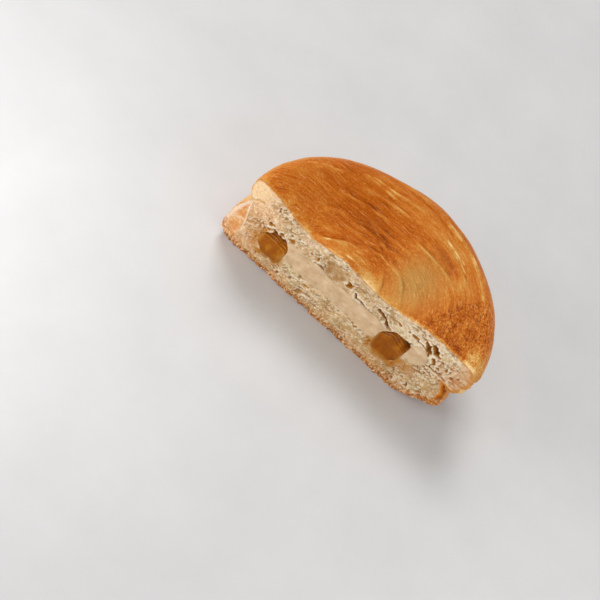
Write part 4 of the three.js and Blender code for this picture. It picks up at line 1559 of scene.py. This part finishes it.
# %% Crumb finish
CRUMB_STOPS = [(0.34, (180, 132, 78)), (0.5, (208, 166, 108)), (0.66, (234, 200, 148))]
# Each tint is the number that it follows, where that starts and ends, the most of it, and its colour.
PALE_TINTS = [
    ("pale_strip", 0.0, 1.0, 0.36, (250, 232, 204)),
    ("warm_end", 0.0, 1.0, 0.45, (246, 180, 128)),
    # Pale patch at the right of the cut, partly painted light.
    ("pale_and_lit_right", 0.0, 1.0, 0.6, (255, 240, 204)),
    # Pale, smooth pressed crumb at the upper left end, partly painted light where that end is lit most.
    ("pressed", 0.1, 0.9, 0.8, (255, 216, 164)),
]
DEEP_TINTS = [
    # Painted highlight on the walls that stand proud between the pits.
    ("proud", 0.2, 1.0, 0.5, (255, 244, 222)),
    # Painted shade in the pits of the crumb, darker where they are deeper.
    ("painted_cavity_shade", 0.06, 0.4, 0.7, (174, 130, 72)),
    ("smeared", 0.1, 0.9, 0.75, (236, 204, 162)),
    ("smooth_lens", 0.0, 1.0, 0.8, (164, 112, 52)),
    # Pale rim round each hole, partly a painted highlight on its edge.
    ("hole_rim", 0.3, 1.0, 0.35, (250, 236, 210)),
    # Bowls of the large holes: golden skin, then painted shade that deepens with depth.
    ("hole_skin_and_shade", 0.05, 0.4, 0.9, (188, 124, 36)),
    ("hole_skin_and_shade", 0.35, 1.2, 0.9, (120, 64, 2)),
    ("strands", 0.6, 1.6, 0.5, (196, 140, 100)),
    ("fold_skin", 0.0, 1.0, 0.65, (238, 164, 88)),
    ("fold_pale", 0.1, 0.9, 0.6, (255, 226, 190)),
    ("fold_deep", 0.1, 0.9, 0.5, (214, 126, 60)),
    # Painted highlight along the rim of the fold of skin at the lower left.
    ("painted_fold_rim_light", 0.0, 0.8, 0.7, (255, 232, 206)),
    ("fold_line", 0.3, 0.9, 0.7, (255, 234, 200)),
    ("toasted", 0.0, 1.0, 0.85, (206, 136, 70)),
    ("end_skin", 0.1, 0.8, 1.0, (214, 126, 28)),
    ("end_dark", 0.1, 0.9, 0.8, (134, 58, 8)),
    ("juice", 0.05, 0.9, 0.9, (188, 120, 32)),
]
NOISE_TINTS = [
    (grain, 0.54, 0.68, 0.4, (255, 242, 220)),
    (grain, 0.46, 0.32, 0.3, (166, 124, 72)),
    (flecks, 0.6, 0.72, 0.4, (226, 170, 132)),
    (dust, 0.57, 0.7, 0.5, (255, 246, 228)),
    (dust, 0.42, 0.3, 0.4, (170, 122, 78)),
]
height = crumb.stored("height_mm")
colour = crumb.ramp(soft, CRUMB_STOPS)
greyer = crumb.times(crumb.remap(patches, 0.44, 0.6), crumb.remap(height, 10.0, 28.0, 0.6, 0.25))
colour = crumb.mix(greyer, colour, light(188, 164, 108))
warmer = crumb.times(crumb.remap(blush, 0.5, 0.64), crumb.remap(height, 8.0, 24.0, 0.2, 0.5))
colour = crumb.mix(warmer, colour, light(232, 184, 150))
upper = crumb.times(crumb.remap(height, 22.0, 30.0, 0.0, 0.55), crumb.remap(soft, 0.4, 0.6, 0.4, 1.0))
colour = crumb.mix(upper, colour, light(240, 212, 170))
for tint in PALE_TINTS:
    colour = crumb.tint(colour, *tint)
flaky = crumb.combine("SUBTRACT", 1.0, crumb.stored("pressed"), clamp=True)
whiter = crumb.times(crumb.remap(flakes, 0.51, 0.62, 0.0, 0.6), flaky)
colour = crumb.mix(whiter, colour, light(255, 240, 210))
browner = crumb.times(crumb.remap(flakes, 0.49, 0.38, 0.0, 0.5), flaky)
colour = crumb.mix(browner, colour, light(190, 140, 84))
for tint in NOISE_TINTS + DEEP_TINTS:
    colour = crumb.tint(colour, *tint)
edge = crumb.plus(crumb.stored("rim_distance"), crumb.remap(soft, 0.3, 0.7, -0.5, 0.5))
edge = crumb.combine("SUBTRACT", edge, crumb.stored("toasted"))
colour = crumb.mix(crumb.remap(edge, 0.1, 0.7, 0.8, 0.0), colour, light(206, 140, 64))
print("crumb finish so far:", len(crumb.tree.nodes), "nodes")

# %% [markdown]
# The lower edge is the baked bottom seen end on. It broke into short upright bits, some brown, some orange
# and some still pale, so a noise that is stretched upwards picks between those three, and the picked colour
# thins out with height.

# %% Baked bits along the lower edge
BIT_STOPS = [(0.36, (146, 84, 36)), (0.5, (212, 138, 68)), (0.62, (246, 212, 166))]
BIT_STRETCH = 0.45
bits = crumb.noise(1100.0, 2.0, 0.6, crumb.stretched_up(BIT_STRETCH))
ragged_edge = crumb.remap(crumb.noise(520.0, 3.0, 0.6), 0.3, 0.7, -2.2, 2.2)
low_edge = crumb.plus(crumb.stored("from_bottom"), ragged_edge)
colour = crumb.mix(crumb.remap(low_edge, 1.0, 6.0, 0.95, 0.0), colour, crumb.ramp(bits, BIT_STOPS))
crumb.set(Base_Color=colour, Roughness=0.75, Specular_IOR_Level=0.12, Subsurface_Weight=0.25)
crumb.set(Subsurface_Radius=(1.0, 0.6, 0.3), Subsurface_Scale=0.0015)
rough = crumb.plus(crumb.times(grain, 0.7), crumb.times(dust, 0.4))
crumb.bump(crumb.plus(soft, rough), strength=0.6, distance=0.4)
print("crumb finish:", len(crumb.tree.nodes), "nodes")

# %% [markdown]
# Cream and fruit are wetter than the crumb. The cream is a smooth beige with hardly any grain. The fruit is
# amber and clear enough for light to go in, so it gets a long red scatter and a low roughness, with faint
# fibres in its colour, a soft pale border, painted light and shade in bands on its steps, and painted shade
# in the gap above them.

# %% Cream finish
CREAM_STOPS = [(0.3, (202, 166, 128)), (0.5, (220, 187, 147)), (0.7, (236, 207, 171))]
cream_look = Finish(cream_finish)
clouds = cream_look.noise(260.0, 4.0, 0.55)
cream_look.set(Base_Color=cream_look.ramp(clouds, CREAM_STOPS), Roughness=0.55, Specular_IOR_Level=0.2)
cream_look.set(Subsurface_Weight=0.3, Subsurface_Radius=(1.0, 0.7, 0.4), Subsurface_Scale=0.002)
cream_look.bump(cream_look.noise(900.0, 3.0, 0.5), strength=0.25, distance=0.2)
print("cream finish:", len(cream_look.tree.nodes), "nodes")

# %% Fruit finish
FRUIT_STOPS = [(0.3, (136, 69, 0)), (0.5, (165, 90, 0)), (0.68, (198, 132, 26))]
FRUIT_TINTS = [
    # Painted shade and painted highlights in bands along the steps of the fallen face.
    ("step_light_and_shade", 0.2, 0.9, 0.45, (112, 58, 6)),
    ("step_light_and_shade", -0.5, -1.0, 0.5, (222, 172, 84)),
    ("border", 0.0, 1.0, 0.55, (196, 138, 64)),
    # Painted shade in the gap where the face has fallen back.
    ("fall_back_shade", 0.62, 0.92, 0.9, (84, 40, 6)),
]
BORDER = (0.78, 1.0)
FIBRE_STRETCH = 0.35
for side, piece in FRUIT.items():
    fruit_x, _, fruit_z = points_of(fruits[side].data)
    fall, ripple = fallen_face(piece, fruit_x, fruit_z)
    # How far the face has fallen back, kept for painted shade in the gap above the fruit.
    store(fruits[side].data, "fall_back_shade", fall)
    # Steps of the fallen face, kept for painted light and shade in bands.
    store(fruits[side].data, "step_light_and_shade", ripple)
    store(fruits[side].data, "border", fade(*BORDER, out_of_fruit(piece, fruit_x, fruit_z)) * (1 - fall))
fruit_look = Finish(fruit_finish)
fibre_place = fruit_look.stretched_up(FIBRE_STRETCH)
flesh = fruit_look.ramp(fruit_look.noise(260.0, 4.0, 0.5, fibre_place), FRUIT_STOPS)
for tint in FRUIT_TINTS:
    flesh = fruit_look.tint(flesh, *tint)
fruit_look.set(Base_Color=flesh, Roughness=0.38, Specular_IOR_Level=0.14)
fruit_look.set(Subsurface_Weight=0.35, Subsurface_Radius=(1.0, 0.45, 0.1), Subsurface_Scale=0.003)
fruit_look.bump(fruit_look.noise(900.0, 3.0, 0.5, fibre_place), strength=0.25, distance=0.25)
print("fruit finish:", len(fruit_look.tree.nodes), "nodes")

# %% [markdown]
# ## Loose crumbs
# The knife broke the baked bottom, so its edge carries a fringe of small brown and pale crumbs, and a few
# cling to the face. Particles would be quick, but the export drops them, so the crumbs are one mesh made
# from arrays: a small ball, stretched and dented by a seeded draw for each crumb, half sunk in the face.

# %% Crumbs on the lower edge
CRUMBS = dict(on_edge=900, on_face=70, smallest=0.15, largest=0.42, sunk=0.22, seed=71)
EDGE_SPAN = (-50.5, 48.5)
EDGE_RISE = 1.7
FACE_RISE = (2.0, 30.0)
FACE_CRUMB_SIZE = 0.7
CRUMB_LIFT = 0.6
CRUMB_STRETCH = (0.5, 1.4)
CRUMB_DENTS = 0.4
ABOVE_FLOOR = 0.02
CRUMB_BROWN = dict(at_edge=0.68, per_mm=0.09, draw=(-0.3, 0.22), span=(0.05, 0.95))


def ball_template():
    """Points and faces of a small ball."""
    ball = bmesh.new()
    bmesh.ops.create_icosphere(ball, subdivisions=2, radius=1.0)
    points = np.array([corner.co[:] for corner in ball.verts])
    faces = np.array([[corner.index for corner in face.verts] for face in ball.faces])
    ball.free()
    return points, faces


draw = np.random.default_rng(CRUMBS["seed"])
count = CRUMBS["on_edge"] + CRUMBS["on_face"]
crumb_x = draw.uniform(*EDGE_SPAN, count)
rise = np.abs(draw.normal(0, EDGE_RISE, count))
rise[CRUMBS["on_edge"]:] = draw.uniform(*FACE_RISE, CRUMBS["on_face"])
size = CRUMBS["smallest"] + (CRUMBS["largest"] - CRUMBS["smallest"]) * draw.uniform(0, 1, count) ** 2
size[CRUMBS["on_edge"]:] *= FACE_CRUMB_SIZE
crumb_z = bottom_of_cut(crumb_x) + rise + CRUMB_LIFT * size
crumb_cell = grid_cell(crumb_x, crumb_z)
ball_points, ball_faces = ball_template()
stretch = size[:, None] * draw.uniform(*CRUMB_STRETCH, (count, 3))
dents = 1 + CRUMB_DENTS * draw.uniform(-1, 1, (count, len(ball_points)))
centres = np.stack([crumb_x, cut_face[crumb_cell] + CRUMBS["sunk"], crumb_z], -1)
crumb_points = centres[:, None] + ball_points * dents[..., None] * stretch[:, None]
crumb_points[..., 2] = np.maximum(crumb_points[..., 2], ABOVE_FLOOR)
crumb_brown = CRUMB_BROWN["at_edge"] - CRUMB_BROWN["per_mm"] * rise
crumb_brown = crumb_brown + draw.uniform(*CRUMB_BROWN["draw"], count)
print("crumbs drawn:", count)

# %% Crumbs kept, as one mesh
FILLING = dict(above=4.0, past_cream=5.0)
beside_filling = np.abs(crumb_x - CREAM["x"]) < CREAM["radius"] + FILLING["past_cream"]
on_filling = (rise > FILLING["above"]) & beside_filling
kept_crumbs = np.flatnonzero(~on_filling & (hole_depth[crumb_cell] == 0))
offsets = np.arange(len(kept_crumbs))[:, None, None] * len(ball_points)
edge_crumbs = mesh_object("edge_crumbs", crumb_points[kept_crumbs].reshape(-1, 3),
                          (ball_faces + offsets).reshape(-1, 3).tolist(), crust_finish)
crumb_brown = np.clip(crumb_brown[kept_crumbs], *CRUMB_BROWN["span"])
store(edge_crumbs.data, "browning_and_shading", np.repeat(crumb_brown, len(ball_points)))
edge_crumbs.data.shade_smooth()
print("crumbs:", len(kept_crumbs), "with", len(edge_crumbs.data.polygons), "faces")

# %% [markdown]
# ## Pieces in the frame
# Each piece stands for one solid of the construction model: it hides that solid and rides on the same body.

# %% Stand in for the solids
for piece, node, slot in (
    (bread, "bread", "crust"),
    (cream, "cream", "cream"),
    (fruits["left"], "fruit_left", "fruit"),
    (fruits["right"], "fruit_right", "fruit"),
):
    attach(piece, "root")
    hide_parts(node)
    print(piece.name, "stands for", node)
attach(edge_crumbs, "root")

# %% [markdown]
# ## Floor, light and camera
# The half lies on a plain pale floor. The light is a soft window above and behind, to the left, with a small
# fill close to the left end of the cut, so that the crumb is brightest there and fades into gentle shade. A
# weak bounce from the right and a weak light from behind keep the other sides from going dark. The camera is
# rolled to one side, because the half was photographed leaning over.

# %% Floor
FLOOR_SIDE = 6.0
FLOOR_CORNERS = [(-1, -1, 0), (1, -1, 0), (1, 1, 0), (-1, 1, 0)]
FLOOR_STOPS = [(0.3, (198, 197, 197)), (0.7, (204, 203, 203))]
floor_finish = bpy.data.materials.new("pale floor")
floor_mesh = bpy.data.meshes.new("floor")
floor_mesh.from_pydata((np.array(FLOOR_CORNERS) * FLOOR_SIDE / 2).tolist(), [], [(0, 1, 2, 3)])
floor_mesh.materials.append(floor_finish)
floor = bpy.data.objects.new("floor", floor_mesh)
bpy.context.collection.objects.link(floor)
floor_look = Finish(floor_finish)
floor_look.set(Base_Color=floor_look.ramp(floor_look.noise(30.0), FLOOR_STOPS), Roughness=0.6)
print("floor side, m:", FLOOR_SIDE)

# %% Light
LIT_POINT = (0.0, 20.0, 20.0)
# Each light is its direction from the bread, its distance and its side in metres, and its power in watts.
LIGHTS = dict(
    window=((-0.4, 0.4, 0.82), 1.2, 0.5, 8.7),
    fill=((-0.8, -0.6, 0.4), 0.26, 0.14, 0.28),
    bounce=((0.82, -0.48, 0.3), 0.3, 0.2, 0.25),
    back=((0.5, 0.82, 0.25), 0.5, 0.3, 0.2),
)
ROOM = dict(Color=(1.0, 0.99, 0.98, 1), Strength=0.45)
lit = Vector((AXIS + LIT_POINT) * MM)
for name, (towards, distance, side, power) in LIGHTS.items():
    lamp = bpy.data.lights.new(name, "AREA")
    lamp.size = side
    lamp.energy = power
    made = bpy.data.objects.new(name, lamp)
    direction = Vector(towards).normalized()
    made.location = lit + direction * distance
    made.rotation_euler = direction.to_track_quat("Z", "Y").to_euler()
    bpy.context.collection.objects.link(made)

world = bpy.data.worlds.new("room")
world.use_nodes = True
for key, value in ROOM.items():
    world.node_tree.nodes["Background"].inputs[key].default_value = value
bpy.context.scene.world = world
bpy.context.scene.view_settings.view_transform = "Standard"

# %% Camera
LOOKED_AT = (-13.4, -24.8, 36.0)
DISTANCE = 491.6
ELEVATION = math.radians(53.545)
AZIMUTH = math.radians(-0.316)
ROLL = math.radians(42.69)
VIEW_ANGLE = math.radians(24.0)

level = math.cos(ELEVATION)
backward = Vector((math.sin(AZIMUTH) * level, -math.cos(AZIMUTH) * level, math.sin(ELEVATION)))
camera_data = bpy.data.cameras.new("camera")
camera_data.angle = VIEW_ANGLE
camera = bpy.data.objects.new("camera", camera_data)
stand = Vector((np.array(LOOKED_AT) + AXIS) * MM) + backward * (DISTANCE * MM)
facing = backward.to_track_quat("Z", "Y").to_matrix().to_4x4()
camera.matrix_world = Matrix.Translation(stand) @ facing @ Matrix.Rotation(ROLL, 4, "Z")
bpy.context.collection.objects.link(camera)
bpy.context.scene.camera = camera
print("camera at, mm:", [round(part / MM) for part in stand])
